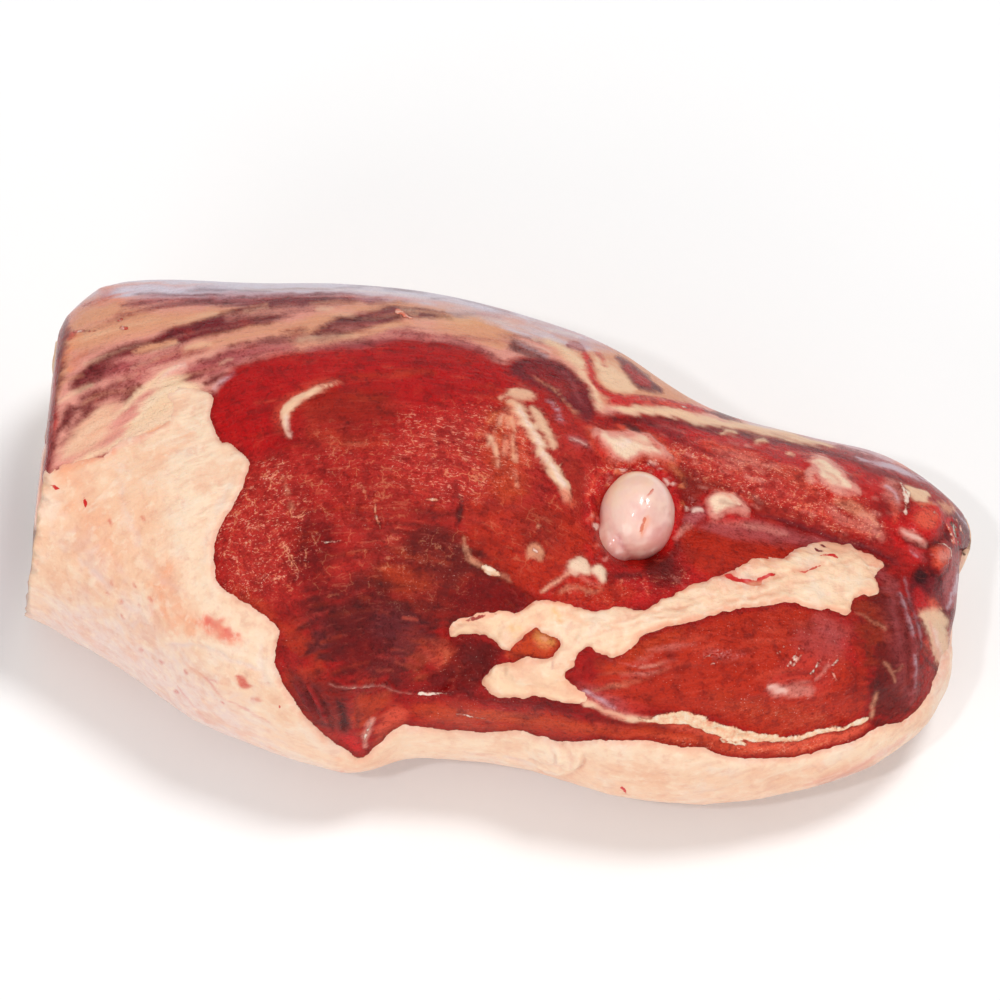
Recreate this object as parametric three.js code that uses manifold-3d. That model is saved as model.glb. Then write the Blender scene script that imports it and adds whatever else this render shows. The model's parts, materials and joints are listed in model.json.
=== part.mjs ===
// Raw leg of lamb, hip bone taken out and shank cut off.
// It lies on its outer, fat-covered side. The knee end is sawn off at -X and the rump end is at +X.
// The cut inner face, with the ball of the thigh bone, looks up and to the front (-Y).
// Millimetres, +Z up. The origin is on the resting surface, below the middle of the leg.
import * as THREE from 'three';
import { mergeVertices } from 'three/addons/utils/BufferGeometryUtils.js';
import Module from 'manifold-3d';

const wasm = await Module();
wasm.setup();

// ---------------------------------------------------------------- driving dimensions

// The cut face is drawn squarely, on a face plane: u runs along +X, v runs up the face and
// w is the depth towards whoever looks at it. The face's normal stands this far above level.
const FACE_SLOPE = THREE.MathUtils.degToRad(60);

// Fitting gap between neighbouring pieces, and the thickness of the layers.
const GAP = 0.34;
const FAT_THICKNESS = 6;
const SEAM_THICKNESS = 11;

// Outline of the leg on the face plane: upper and lower edge [u, v].
const UPPER_EDGE = [
  [-172, 48], [-150, 62], [-143, 71.5], [-136.5, 78], [-129, 83.5], [-110, 85.5], [-80, 84.3],
  [-49, 84], [-16, 80], [20, 70], [39, 62], [52, 53], [65, 45], [78, 40], [104, 33.5],
  [123.5, 29], [137, 21.5], [149.5, 11], [154.5, 4.5],
];
const LOWER_EDGE = [
  [-172, -18], [-150, -26], [-136.5, -33.5], [-123.5, -41], [-110.5, -50], [-97.5, -59],
  [-78, -67], [-56, -74.2], [-47, -76], [-40, -74], [-33, -70.5], [-16, -70.7], [6.5, -73],
  [20, -77], [39, -83], [52, -85], [71.5, -84.8], [104, -79], [123.5, -71], [138, -60],
  [143, -52], [146.5, -45], [148.4, -33], [150.2, -11], [152.8, -3.5], [154.5, 3.5],
];

// Upright section along the leg: height of its widest level, rise above and drop below it.
const WIDEST_LEVEL = [[-172, 42], [-100, 44], [-50, 45], [0, 44], [50, 40], [100, 36], [138, 34], [154.5, 33]];
const RISE = [
  [-172, 38], [-150, 46], [-100, 56], [-50, 62], [0, 60], [50, 52], [100, 42],
  [138, 30], [147, 21], [152, 7], [154.5, 0.4],
];
const DROP = [
  [-172, 32], [-150, 38], [-100, 45], [-50, 47.8], [0, 46.8], [50, 41.5], [100, 31],
  [138, 22], [147, 16], [152, 6], [154.5, 0.4],
];
const SQUARENESS = 2.35;

// Saw cut at the knee end: where it crosses the resting plane's middle, and its normal.
const SAW_X = -153.2;
const SAW_NORMAL = new THREE.Vector3(-0.99, 0.09, 0.075).normalize();

// Where the fat is trimmed off the inner face, as an outline [u, v] that runs past the far edge.
const TRIM = [
  [-175, 21], [-143, 24.5], [-129, 27], [-123, 33.5], [-114, 44], [-101.5, 50], [-93.5, 48.5],
  [-95, 40.5], [-87, 32.5], [-81, 27], [-85, 14], [-92, 1], [-93, -9], [-85, -17.5], [-72, -28],
  [-73.5, -38], [-71, -49], [-63.5, -58.5], [-52, -66], [-43.5, -71], [-39.5, -65], [-32, -59.5],
  [-14.5, -61.5], [10, -62], [18, -65.5], [39, -64.5], [65, -67.5], [84.5, -70.3], [107, -67],
  [122, -61.5], [131.5, -58], [139, -48.5], [141.5, -41], [137, -29], [146, -20], [175, -12],
  [175, 120], [130, 118], [80, 124], [30, 119], [-20, 123], [-70, 118], [-120, 123], [-175, 120],
];
// The layer of fat ends at this height round the back, falling a little towards the rump.
const RIM_HEIGHT = 46;
const RIM_FALL = 0.045;

// White seam of fat between the muscles, as an outline [u, v].
const SEAM = [
  [-17.5, -28.5], [-12, -24], [4, -22], [12.5, -17.5], [29, -21], [46, -22.5], [63.5, -14],
  [78.5, -6.5], [101, 0], [114, -1], [126, -9], [118.5, -10.5], [123, -16.5], [115.5, -17],
  [112.5, -22.5], [92.5, -19], [68, -23], [47, -28], [36.5, -37.5], [30, -32.5], [24, -38],
  [20, -42.5], [26, -51], [12.5, -49.5], [5, -51], [-6, -45.5], [1.5, -39], [0, -31.5], [-10, -29],
];
const SEAM_FOOT = 42;

// Bulging muscles and hollows of the cut face: middle [u, v], half lengths, turn and rise.
const SWELLINGS = [
  { at: [-34, 20], half: [86, 62], turn: 0, rise: 6 }, // the big inner thigh muscle
  { at: [80, -40], half: [62, 25], turn: 6, rise: 7 }, // the oval muscle of the rump
  { at: [97, 23], half: [60, 17], turn: -13, rise: 5 }, // the strip of muscle along the far side
  { at: [44, 10], half: [27, 26], turn: 0, rise: -8 }, // the hip socket's bed round the ball
  { at: [-12, -36.5], half: [18, 13], turn: -20, rise: -10 }, // the hollow left of the seam
];
// Creases between the muscles: line of [u, v], half width and depth.
const CREASES = [
  { line: [[-24, -46], [-39, -50], [-46, -64]], half: 13, depth: 8 },
  { line: [[34, -52], [52, -56], [78, -60], [98, -63], [117, -58], [131, -51]], half: 8, depth: 4 },
  { line: [[62, 5], [88, 7], [114, -1], [131, -10], [141, -22]], half: 10, depth: 5 },
  { line: [[-10, -26], [10, -19], [30, -18], [60, -11]], half: 10, depth: 3 },
];
// Notch in the rump end, between the strip of muscle and the oval one.
const NOTCH = { v: -20, half: 7, depth: 5, from: 136, full: 147 };

// Thigh bone: ball, the ridge beside it, neck, and the shaft that runs to the saw cut.
const BALL = { at: [44, 8.4], half: [12.5, 14.2, 12.5], sunk: -1.8 };
const RIDGE = { fromBall: [-8.7, -12.6, -4.5], half: [6.5, 6.5, 6.5] };
const NECK_RADIUS = 8;
const SHAFT_SIDES = 12;
const ELBOW = { x: 27, y: -26, z: 46, half: [12, 12, 12] };
const SHAFT_END = { x: -175, y: -2, z: 45 };
// Shaft radius at a share of the way from the elbow to the knee.
const SHAFT_PROFILE = [[0, 10.5], [0.15, 9.5], [0.4, 9], [0.65, 9.5], [0.82, 13], [0.92, 17], [1, 18]];

// Fineness: rings along the leg, points on the upper and lower half of each ring. The rings
// stand closer together towards the rump's tip, by this power.
const OUTER_RINGS = { along: 52, upper: 27, lower: 15 };
const INNER_RINGS = { along: 27, upper: 12, lower: 10 };
const RING_CROWDING = 1.3;

// A skin set in from the surface also draws back from the rump's tip, from this x on, and ends
// at least this far short of it.
const DRAW_BACK_FROM = 90;
const TIP_SHORTFALL = 3;
// Share of a surface's normal along the face's normal where relief starts and is full.
const RELIEF_FACING = [0.02, 0.45];
// Depth on the face plane well in front of the leg.
const CLEAR_OF_LEG = 200;

// ---------------------------------------------------------------- small helpers

const { smoothstep } = THREE.MathUtils;
const KNEE_X = UPPER_EDGE[0][0];
const TIP_X = UPPER_EDGE.at(-1)[0];
const UP_FACE = new THREE.Vector3(0, Math.sin(FACE_SLOPE), Math.cos(FACE_SLOPE));
const OUT_OF_FACE = new THREE.Vector3(0, -Math.cos(FACE_SLOPE), Math.sin(FACE_SLOPE));

// The point of the leg's frame at u, v and w of the face plane.
function fromFace(u, v, w) {
  return new THREE.Vector3(u, 0, 0).addScaledVector(UP_FACE, v).addScaledVector(OUT_OF_FACE, w);
}

// A smooth curve through the given [x, y] stations, read at any x (cubic Hermite).
function curveThrough(stations) {
  const slope = (i) => {
    const before = stations[Math.max(i - 1, 0)];
    const after = stations[Math.min(i + 1, stations.length - 1)];
    return (after[1] - before[1]) / (after[0] - before[0]);
  };
  return (x) => {
    const clamped = THREE.MathUtils.clamp(x, stations[0][0], stations.at(-1)[0]);
    const i = Math.max(stations.findIndex((s) => s[0] >= clamped) - 1, 0);
    const [x0, y0] = stations[i];
    const [x1, y1] = stations[i + 1];
    const t = (clamped - x0) / (x1 - x0);
    const rise = (1 - t) * (1 - t) * t * slope(i) - (1 - t) * t * t * slope(i + 1);
    return y0 + (y1 - y0) * t * t * (3 - 2 * t) + (x1 - x0) * rise;
  };
}

// Distance on the face plane from a spot to a line of several stretches.
function distanceToLine(u, v, line) {
  const point = new THREE.Vector3(u, v, 0);
  const corners = line.map(([a, b]) => new THREE.Vector3(a, b, 0));
  const nearest = new THREE.Vector3();
  let least = Infinity;
  for (let i = 1; i < corners.length; i += 1) {
    new THREE.Line3(corners[i - 1], corners[i]).closestPointToPoint(point, true, nearest);
    least = Math.min(least, nearest.distanceTo(point));
  }
  return least;
}

// Moves every corner of an outline outwards by a distance (inwards if negative).
function grown(outline, distance) {
  const points = outline.map(([u, v]) => new THREE.Vector2(u, v));
  const side = Math.sign(THREE.ShapeUtils.area(points));
  const count = points.length;
  return points.map((point, i) => {
    const before = point.clone().sub(points[(i + count - 1) % count]).normalize();
    const after = points[(i + 1) % count].clone().sub(point).normalize();
    const miter = new THREE.Vector2(before.y + after.y, -before.x - after.x).multiplyScalar(side);
    const stretch = Math.max(miter.lengthSq() / 2, 0.4);
    return point.clone().addScaledVector(miter, distance / stretch);
  });
}

// A closed three.js geometry as a solid that can be cut and joined.
function solidFrom(geometry) {
  const bare = geometry.clone();
  bare.deleteAttribute('normal');
  bare.deleteAttribute('uv');
  const merged = mergeVertices(bare, 1e-4);
  return new wasm.Manifold(new wasm.Mesh({
    numProp: 3,
    vertProperties: merged.getAttribute('position').array,
    triVerts: new Uint32Array(merged.index.array),
  }));
}

// A solid's triangles as a three.js geometry.
function geometryFrom(solid) {
  const mesh = solid.getMesh();
  const geometry = new THREE.BufferGeometry();
  geometry.setAttribute('position', new THREE.BufferAttribute(mesh.vertProperties, 3));
  geometry.setIndex(new THREE.BufferAttribute(mesh.triVerts, 1));
  geometry.computeVertexNormals();
  return geometry;
}

// ---------------------------------------------------------------- the whole leg

const upperEdge = curveThrough(UPPER_EDGE);
const lowerEdge = curveThrough(LOWER_EDGE);
const widestLevel = curveThrough(WIDEST_LEVEL);
const rise = curveThrough(RISE);
const drop = curveThrough(DROP);

// How far a rounded quarter section reaches along the face plane's v direction.
function reach(halfWidth, height) {
  const power = SQUARENESS / (SQUARENESS - 1);
  const across = (halfWidth * UP_FACE.y) ** power;
  const upwards = (height * UP_FACE.z) ** power;
  return (across + upwards) ** (1 / power);
}

// Upright section at x, wide enough that its outline on the face plane meets both edges.
function sectionAt(x) {
  const section = { level: widestLevel(x), rise: rise(x), drop: drop(x) };
  const span = upperEdge(x) - lowerEdge(x);
  let low = 0;
  let high = span;
  for (let round = 0; round < 40; round += 1) {
    section.halfWidth = (low + high) / 2;
    const covered = reach(section.halfWidth, section.rise) + reach(section.halfWidth, section.drop);
    if (covered < span) low = section.halfWidth;
    else high = section.halfWidth;
  }
  const middle = upperEdge(x) - reach(section.halfWidth, section.rise);
  section.y = (middle - section.level * UP_FACE.z) / UP_FACE.y;
  return section;
}

// Point of a section at an angle from +Y, with the share of it that faces out of the face plane.
function pointOn(section, angle, inset) {
  const cos = Math.cos(angle);
  const sin = Math.sin(angle);
  const fullHeight = sin > 0 ? section.rise : section.drop;
  const width = section.halfWidth - inset;
  const height = fullHeight - inset;
  const y = section.y + width * Math.sign(cos) * Math.abs(cos) ** (2 / SQUARENESS);
  const z = section.level + height * Math.sign(sin) * Math.abs(sin) ** (2 / SQUARENESS);
  const outward = new THREE.Vector3(0, cos / section.halfWidth, sin / fullHeight).normalize();
  return { y, z, facing: smoothstep(outward.dot(OUT_OF_FACE), ...RELIEF_FACING) };
}

// Height of the muscles' swelling and creases above the smooth form, over the cut face.
function relief(u, v) {
  let height = 0;
  for (const { at, half, turn, rise: top } of SWELLINGS) {
    const local = new THREE.Vector2(u - at[0], v - at[1]);
    local.rotateAround(new THREE.Vector2(), THREE.MathUtils.degToRad(-turn));
    const away = Math.hypot(local.x / half[0], local.y / half[1]);
    height += top * (1 - smoothstep(away, 0, 1));
  }
  for (const { line, half, depth } of CREASES) {
    height -= depth * (1 - smoothstep(distanceToLine(u, v, line), 0, half));
  }
  return height;
}

// Point of the leg's skin at x and an angle round it, set in by a distance.
function surfacePoint(x, angle, inset) {
  const section = sectionAt(x);
  const { y, z, facing } = pointOn(section, angle, inset);
  const flat = new THREE.Vector3(x, y, z);
  const v = flat.dot(UP_FACE);
  const point = flat.clone().addScaledVector(OUT_OF_FACE, facing * relief(x, v));
  const pull = Math.exp(-(((v - NOTCH.v) / NOTCH.half) ** 2)) * smoothstep(x, NOTCH.from, NOTCH.full);
  point.x -= NOTCH.depth * pull + inset * smoothstep(x, DRAW_BACK_FROM, TIP_X);
  point.z = Math.max(point.z, inset);
  return point;
}

// The leg's closed skin, set in by a distance: rings of points from the knee to the rump.
// A skin that is set in stops short of the rump's tip, where the leg is too slim for it.
function legSolid(inset, { along, upper, lower }) {
  const end = TIP_X - (inset > 0 ? TIP_SHORTFALL + inset / 4 : 0);
  const around = upper + lower;
  const positions = [];
  const indices = [];
  for (let i = 0; i <= along; i += 1) {
    const x = end - (end - KNEE_X) * (1 - i / along) ** RING_CROWDING;
    for (let j = 0; j < around; j += 1) {
      const angle = j < upper ? (Math.PI * j) / upper : Math.PI * (1 + (j - upper) / lower);
      positions.push(...surfacePoint(x, angle, inset));
    }
  }
  const ringMiddle = (i) => {
    const section = sectionAt(i === 0 ? KNEE_X : end);
    return [positions[3 * i * around], section.y, section.level];
  };
  const capStart = positions.length / 3;
  positions.push(...ringMiddle(0), ...ringMiddle(along));
  for (let j = 0; j < around; j += 1) {
    const next = (j + 1) % around;
    for (let i = 0; i < along; i += 1) {
      const a = i * around + j;
      const b = i * around + next;
      indices.push(a, b, a + around, b, b + around, a + around);
    }
    indices.push(capStart, next, j, capStart + 1, along * around + j, along * around + next);
  }
  const geometry = new THREE.BufferGeometry();
  geometry.setAttribute('position', new THREE.Float32BufferAttribute(positions, 3));
  geometry.setIndex(indices);
  return solidFrom(geometry);
}

// A point on the cut face above the drawn spot [u, v], sunk below the surface.
function onFace([u, v], sunk) {
  let low = 0.1;
  let high = Math.PI + 0.4;
  for (let round = 0; round < 40; round += 1) {
    const middle = (low + high) / 2;
    if (surfacePoint(u, middle, 0).dot(UP_FACE) > v) low = middle;
    else high = middle;
  }
  const point = surfacePoint(u, low, 0);
  return fromFace(u, v, point.dot(OUT_OF_FACE) - sunk);
}

// A solid that stands out of the face plane over an outline, grown by an amount. Its flat foot
// crosses the middle of the leg at the given height and falls a little towards the rump.
function faceColumn(outline, grow, footHeight) {
  const shape = new THREE.Shape(grown(outline, grow));
  const geometry = new THREE.ExtrudeGeometry(shape, { depth: 1, bevelEnabled: false });
  const place = geometry.getAttribute('position');
  for (let i = 0; i < place.count; i += 1) {
    const u = place.getX(i);
    const v = place.getY(i);
    const footLevel = footHeight - grow - RIM_FALL * u;
    const foot = (footLevel - v * UP_FACE.z) / OUT_OF_FACE.z;
    const w = place.getZ(i) > 0.5 ? CLEAR_OF_LEG : foot;
    place.setXYZ(i, ...fromFace(u, v, w));
  }
  return solidFrom(geometry);
}

// Everything beyond the saw cut at the knee end.
function beyondSaw() {
  const size = 400;
  const turn = new THREE.Quaternion().setFromUnitVectors(new THREE.Vector3(-1, 0, 0), SAW_NORMAL);
  const middle = new THREE.Vector3(SAW_X, 0, 0).addScaledVector(SAW_NORMAL, size / 2);
  const box = new THREE.BoxGeometry(size, size, size).applyQuaternion(turn);
  return solidFrom(box.translate(...middle));
}

// ---------------------------------------------------------------- the thigh bone

// A lathe turned from [share, radius] stations along the line between two points.
function turnedAlong(from, to, stations, extra, sides) {
  const axis = to.clone().sub(from);
  const length = axis.length();
  const profile = stations.map(([share, radius]) => new THREE.Vector2(radius + extra, share * length));
  profile[0].y -= extra;
  profile.at(-1).y += extra;
  const closed = [new THREE.Vector2(0, profile[0].y), ...profile, new THREE.Vector2(0, profile.at(-1).y)];
  const turn = new THREE.Quaternion().setFromUnitVectors(new THREE.Vector3(0, 1, 0), axis.normalize());
  const geometry = new THREE.LatheGeometry(closed, sides).applyQuaternion(turn);
  return solidFrom(geometry.translate(...from));
}

// An egg-shaped lump with half lengths along u, v and w of the face plane.
function lump(centre, half, extra, [around, upwards]) {
  const ball = new THREE.SphereGeometry(1, around, upwards);
  ball.scale(half[0] + extra, half[1] + extra, half[2] + extra);
  ball.rotateX(Math.PI / 2 - FACE_SLOPE);
  return solidFrom(ball.translate(...centre));
}

// The bone, thickened by the given amount to cut its bed in the meat.
function thighBone(extra) {
  const ball = onFace(BALL.at, BALL.sunk);
  const ridge = ball.clone().add(fromFace(...RIDGE.fromBall));
  const elbow = new THREE.Vector3(ELBOW.x, ELBOW.y, ELBOW.z);
  const knee = new THREE.Vector3(SHAFT_END.x, SHAFT_END.y, SHAFT_END.z);
  const neck = [[0, NECK_RADIUS + 2], [0.5, NECK_RADIUS], [1, NECK_RADIUS + 2]];
  return lump(ball, BALL.half, extra, [20, 14])
    .add(lump(ridge, RIDGE.half, extra, [12, 8]))
    .add(turnedAlong(ball, elbow, neck, extra, SHAFT_SIDES))
    .add(lump(elbow, ELBOW.half, extra, [14, 10]))
    .add(turnedAlong(elbow, knee, SHAFT_PROFILE, extra, SHAFT_SIDES));
}

// ---------------------------------------------------------------- the four pieces

const leg = legSolid(0, OUTER_RINGS);
const saw = beyondSaw();
const boneBed = thighBone(GAP);

const trimmedFace = faceColumn(TRIM, GAP / 2, RIM_HEIGHT);
const leanFace = faceColumn(TRIM, -GAP / 2, RIM_HEIGHT);
const fatCover = leg
  .subtract(legSolid(FAT_THICKNESS - GAP / 2, INNER_RINGS))
  .subtract(trimmedFace)
  .subtract(saw);

const seamBed = faceColumn(SEAM, GAP / 2, SEAM_FOOT)
  .subtract(legSolid(SEAM_THICKNESS + GAP / 2, INNER_RINGS));
const seamFat = leg
  .intersect(faceColumn(SEAM, -GAP / 2, SEAM_FOOT))
  .subtract(legSolid(SEAM_THICKNESS - GAP / 2, INNER_RINGS));

const meat = leg
  .intersect(leanFace)
  .add(legSolid(FAT_THICKNESS + GAP / 2, INNER_RINGS))
  .subtract(seamBed)
  .subtract(boneBed)
  .subtract(saw);

const femur = thighBone(0).subtract(saw);

// ---------------------------------------------------------------- colours and scene graph

// A named mesh of a solid, with its colour and roughness.
function piece(name, solid, colour, roughness) {
  const material = new THREE.MeshStandardMaterial({ color: colour, roughness, metalness: 0 });
  const mesh = new THREE.Mesh(geometryFrom(solid), material);
  mesh.name = name;
  return mesh;
}

const group = new THREE.Group();
group.add(piece('meat', meat, 0x8e2420, 0.38));
group.add(piece('fat_cover', fatCover, 0xe9c6a4, 0.5));
group.add(piece('seam_fat', seamFat, 0xecd0b0, 0.48));
group.add(piece('femur', femur, 0xe6bfba, 0.3));

// The leg's box is centred over the origin and rests on z = 0.
const box = new THREE.Box3().setFromObject(group);
const middle = box.getCenter(new THREE.Vector3());
group.position.set(-middle.x, -middle.y, -box.min.z);

export default group;
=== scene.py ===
"""Raw leg of lamb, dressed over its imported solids: muscles, fat cover, seam fat and thigh bone.

Lengths are metres unless a name says otherwise. The cut face is drawn on a ruled face that looks
at the leg squarely: columns run along +X, rows run down the face, and a square is SQUARE wide.
"""

import copy
import json
import math

import bpy
import numpy as np
from bpy.props import FloatProperty, FloatVectorProperty, PointerProperty
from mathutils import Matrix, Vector

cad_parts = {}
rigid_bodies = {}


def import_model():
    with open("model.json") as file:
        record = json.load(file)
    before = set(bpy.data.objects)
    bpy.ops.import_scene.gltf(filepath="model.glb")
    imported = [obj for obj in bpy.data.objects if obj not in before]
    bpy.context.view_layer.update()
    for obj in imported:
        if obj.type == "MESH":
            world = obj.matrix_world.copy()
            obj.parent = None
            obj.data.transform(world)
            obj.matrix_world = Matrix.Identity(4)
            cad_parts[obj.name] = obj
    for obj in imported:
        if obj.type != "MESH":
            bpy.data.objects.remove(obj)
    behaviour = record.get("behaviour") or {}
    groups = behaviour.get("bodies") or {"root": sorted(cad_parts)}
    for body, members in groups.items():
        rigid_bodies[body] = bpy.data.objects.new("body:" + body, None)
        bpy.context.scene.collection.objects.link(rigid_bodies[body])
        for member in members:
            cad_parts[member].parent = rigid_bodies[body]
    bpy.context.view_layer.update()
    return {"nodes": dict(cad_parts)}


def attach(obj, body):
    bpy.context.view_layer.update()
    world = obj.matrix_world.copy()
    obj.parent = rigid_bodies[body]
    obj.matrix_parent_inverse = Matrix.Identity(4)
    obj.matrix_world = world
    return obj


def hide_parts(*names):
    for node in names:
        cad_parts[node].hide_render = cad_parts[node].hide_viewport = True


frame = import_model()

bl_info = {
    "name": "Raw leg of lamb",
    "version": (1, 0, 0),
    "blender": (4, 5, 0),
    "location": "3D View > Sidebar > Lamb",
    "description": "Dresses the solids of a raw leg of lamb with muscles, fat and bone",
    "category": "Object",
}

MM = 0.001
BODY = "root"

# ------------------------------------------------------------------ sizes and colours


def linear(red, green, blue):
    """A colour given in the usual 0 to 255 steps, as materials and props hold it."""
    return tuple(((c / 255 + 0.055) / 1.055) ** 2.4 if c > 10 else c / 3295 for c in (red, green, blue))


def shade(name, use, red, green, blue):
    """A colour to choose, with its default in 0 to 255 steps."""
    return FloatVectorProperty(
        name=name, description=use, subtype="COLOR", size=3, min=0, max=1,
        default=linear(red, green, blue),
    )


def length(name, use, millimetres):
    """A length to choose, with its default in millimetres."""
    return FloatProperty(
        name=name, description=use, default=millimetres * MM, min=0, subtype="DISTANCE", unit="LENGTH",
    )


class LambSizes(bpy.types.PropertyGroup):
    """Sizes of the layers of the leg"""

    fat_thickness: length("Fat cover", "Thickness of the outer fat", 5.4)
    lip_height: length("Fat lip", "How far the edge of the fat stands over the lean", 1.3)
    lip_width: length("Lip width", "How far in from its edge the fat reaches its full height", 2.4)
    seam_height: length("Seam lip", "How far the seam fat stands over the lean", 1.0)
    seam_thickness: length("Seam fat", "Thickness of the seam fat", 7)
    grain_depth: length("Grain", "Depth of the fine grain of the cut lean", 0.28)
    fibre_depth: length("Fibres", "Depth of the fibres under the membranes", 0.22)
    fat_dimples: length("Fat dimples", "Depth of the fine dimples of the fat", 0.25)


class LambColours(bpy.types.PropertyGroup):
    """Colours of the leg's lean, membranes, fat and bone"""

    lean: shade("Lean", "Most of the cut lean", 172, 16, 12)
    scarlet: shade("Scarlet lean", "The freshest lean, along the top", 188, 4, 8)
    rosy: shade("Rosy lean", "Lean with a pale bloom of cut fibres", 208, 56, 46)
    olive: shade("Brown-olive lean", "Lean that has dried a little", 152, 32, 10)
    brown: shade("Brown lean", "Dry lean low on the cut face", 132, 22, 8)
    umber: shade("Darkest lean", "Brownest lean by the ledge", 102, 13, 8)
    deep: shade("Deep red", "Wet lean in the shade", 126, 2, 2)
    plum: shade("Plum lean", "Dark lean low on the big muscle", 92, 12, 12)
    slate: shade("Slate lean", "Bluish skin over dark lean", 104, 36, 42)
    rust: shade("Rust", "Orange-brown lean by the fat", 202, 66, 24)
    brick: shade("Brick red", "Smooth lean of the oval muscle", 190, 40, 12)
    coral: shade("Coral", "Pale wet lean", 240, 96, 68)
    crimson: shade("Crimson", "Red wet tissue", 214, 24, 26)
    blood: shade("Blood", "Blood marks", 206, 20, 14)
    maroon: shade("Maroon", "Lean seen through a membrane", 124, 26, 34)
    mauve: shade("Mauve", "Lean under a thicker membrane", 184, 86, 88)
    rose: shade("Rose membrane", "Pale pink membrane", 236, 158, 142)
    tan: shade("Tan membrane", "Membrane over fat", 232, 162, 126)
    apricot: shade("Apricot", "Stained membrane and fat", 246, 144, 94)
    silver: shade("Silver skin", "Bluish-white membrane", 222, 212, 224)
    pearl: shade("Pearl", "White of gristle and tendons", 253, 222, 206)
    cream: shade("Cream", "Fat in the lean", 252, 211, 174)
    fat: shade("Fat", "Most of the outer fat", 248, 208, 176)
    fat_warm: shade("Warm fat", "Peach parts of the fat", 244, 192, 156)
    # Painted shade: this lilac-grey stands for fat turned down and away from the light, on its underside and
    # in grooves.
    shaded_fat: shade("Cool fat", "Lilac-grey underside of the fat", 236, 208, 200)
    fat_lit: shade("Light fat", "Pale cream edges of the fat", 252, 220, 190)
    amber: shade("Amber", "Yellowish stain in the seam fat", 240, 178, 96)
    # Painted shade: this blackish red is drawn into hollows, slits and crevices for the shade inside them.
    hollow_shade: shade("Dark hollow", "Blackish red of hollows", 52, 10, 16)


# ------------------------------------------------------------------ the ruled face

FACE_SLOPE = math.radians(60)
UP_FACE = np.array([0, math.sin(FACE_SLOPE), math.cos(FACE_SLOPE)])
OUT_OF_FACE = np.array([0, -math.cos(FACE_SLOPE), math.sin(FACE_SLOPE)])
SQUARE = 0.325 * MM
ORIGIN_COLUMN = 498.85
ORIGIN_ROW = 611.1
# Direction that the saw cut at the knee end faces.
SAW_NORMAL = np.array([-0.99, 0.09, 0.075]) / np.linalg.norm([-0.99, 0.09, 0.075])


def spots(path):
    """The spots of a path written as "column,row column,row ..."."""
    return [tuple(float(part) for part in spot.split(",")) for spot in path.split()]


def rounded(line, closed):
    """A line with its corners cut off, so that it bends evenly."""
    pairs = list(zip(line, line[1:] + line[:1])) if closed else list(zip(line, line[1:]))
    cut = []
    for (x0, y0), (x1, y1) in pairs:
        for share in (0.25, 0.75):
            cut.append((x0 * (1 - share) + x1 * share, y0 * (1 - share) + y1 * share))
    return cut if closed else [line[0], *cut, line[-1]]


# Lean window: the fat cover ends along this outline, and the lean lies inside it.
LEAN_WINDOW = rounded(spots(
    "-60,490 45,480 60,466 85,460 105,458 118,443 128,437 142,435 156,430 168,424 176,414 172,404 166,396 "
    "176,391 190,389 204,391 212,396 213,405 209,417 214,429 222,441 231,441 240,450 250,460 247,468 242,477 "
    "240,490 235,502 229,511 221,524 216,540 214,556 214,572 217,583 226,591 240,600 260,613 280,627 277,640 "
    "274,655 277,672 282,690 290,700 300,712 311,726 325,738 343,749 357,760 368,757 376,748 386,741 396,731 "
    "404,726 417,729 440,731 478,735 500,735 520,732 535,737 556,744 577,745 600,741 640,742 670,746 700,749 "
    "720,756 740,759 780,759 800,757 830,750 860,741 875,732 890,723 905,723 915,715 925,705 932,695 937,680 "
    "942,668 944,655 960,640 1060,600 1060,-700 -60,-700"
), True)
# Along this part of its edge, the fat cover runs out thinly.
THIN_EDGE = spots("-60,490 60,466 105,458 142,435 176,414 168,398 190,389")
# Round the back, the fat cover ends at this height over the middle, falling towards the rump.
RIM_HEIGHT = 46 * MM
RIM_FALL = 0.045

# Seam fat between the muscles.
SEAM = rounded(spots(
    "446,632 456,621 470,617 500,611 518,612 530,602 545,598 562,601 580,608 600,612 620,607 640,612 652,606 "
    "664,597 682,588 700,584 715,578 733,572 748,563 765,558 783,560 797,551 811,544 828,541 843,543 862,551 "
    "880,561 886,570 872,576 878,586 878,594 856,595 850,603 849,615 832,612 805,606 780,601 740,608 700,616 "
    "662,627 643,634 628,648 612,657 600,653 588,643 574,657 573,666 562,672 570,682 576,690 590,699 577,703 "
    "552,700 535,693 525,698 504,697 490,691 481,682 494,668 512,661 550,658 556,650 560,641 546,633 533,626 "
    "520,640 505,650 495,640 480,633 461,635 452,640"
), True)


def ruled(points):
    """Column, row and depth towards the viewer (metres) of points of the frame."""
    columns = ORIGIN_COLUMN + points[:, 0] / SQUARE
    rows = ORIGIN_ROW - points @ UP_FACE / SQUARE
    return columns, rows, points @ OUT_OF_FACE


def point_at(column, row, depth):
    """The point of the frame at a column, a row and a depth."""
    up = UP_FACE * (ORIGIN_ROW - row) * SQUARE
    return Vector(up + OUT_OF_FACE * depth) + Vector(((column - ORIGIN_COLUMN) * SQUARE, 0, 0))


def line_distance(across, down, line):
    """Distance from spots to a line of several stretches, how far along it the nearest spot of
    the line is (0 to 1), and on which side of it they are (1 is its left, as drawn)."""
    least = np.full(len(across), np.inf)
    along = np.zeros(len(across))
    side = np.ones(len(across))
    passed = 0.0
    for (x0, y0), (x1, y1) in zip(line, line[1:]):
        dx, dy = x1 - x0, y1 - y0
        stretch = math.hypot(dx, dy)
        ax, ay = across - x0, down - y0
        share = np.clip((ax * dx + ay * dy) / stretch**2, 0, 1)
        away = np.hypot(ax - share * dx, ay - share * dy)
        nearer = away < least
        least = np.where(nearer, away, least)
        along = np.where(nearer, passed + share * stretch, along)
        side = np.where(nearer, np.sign(ax * dy - ay * dx), side)
        passed += stretch
    return least, along / passed, side


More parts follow.
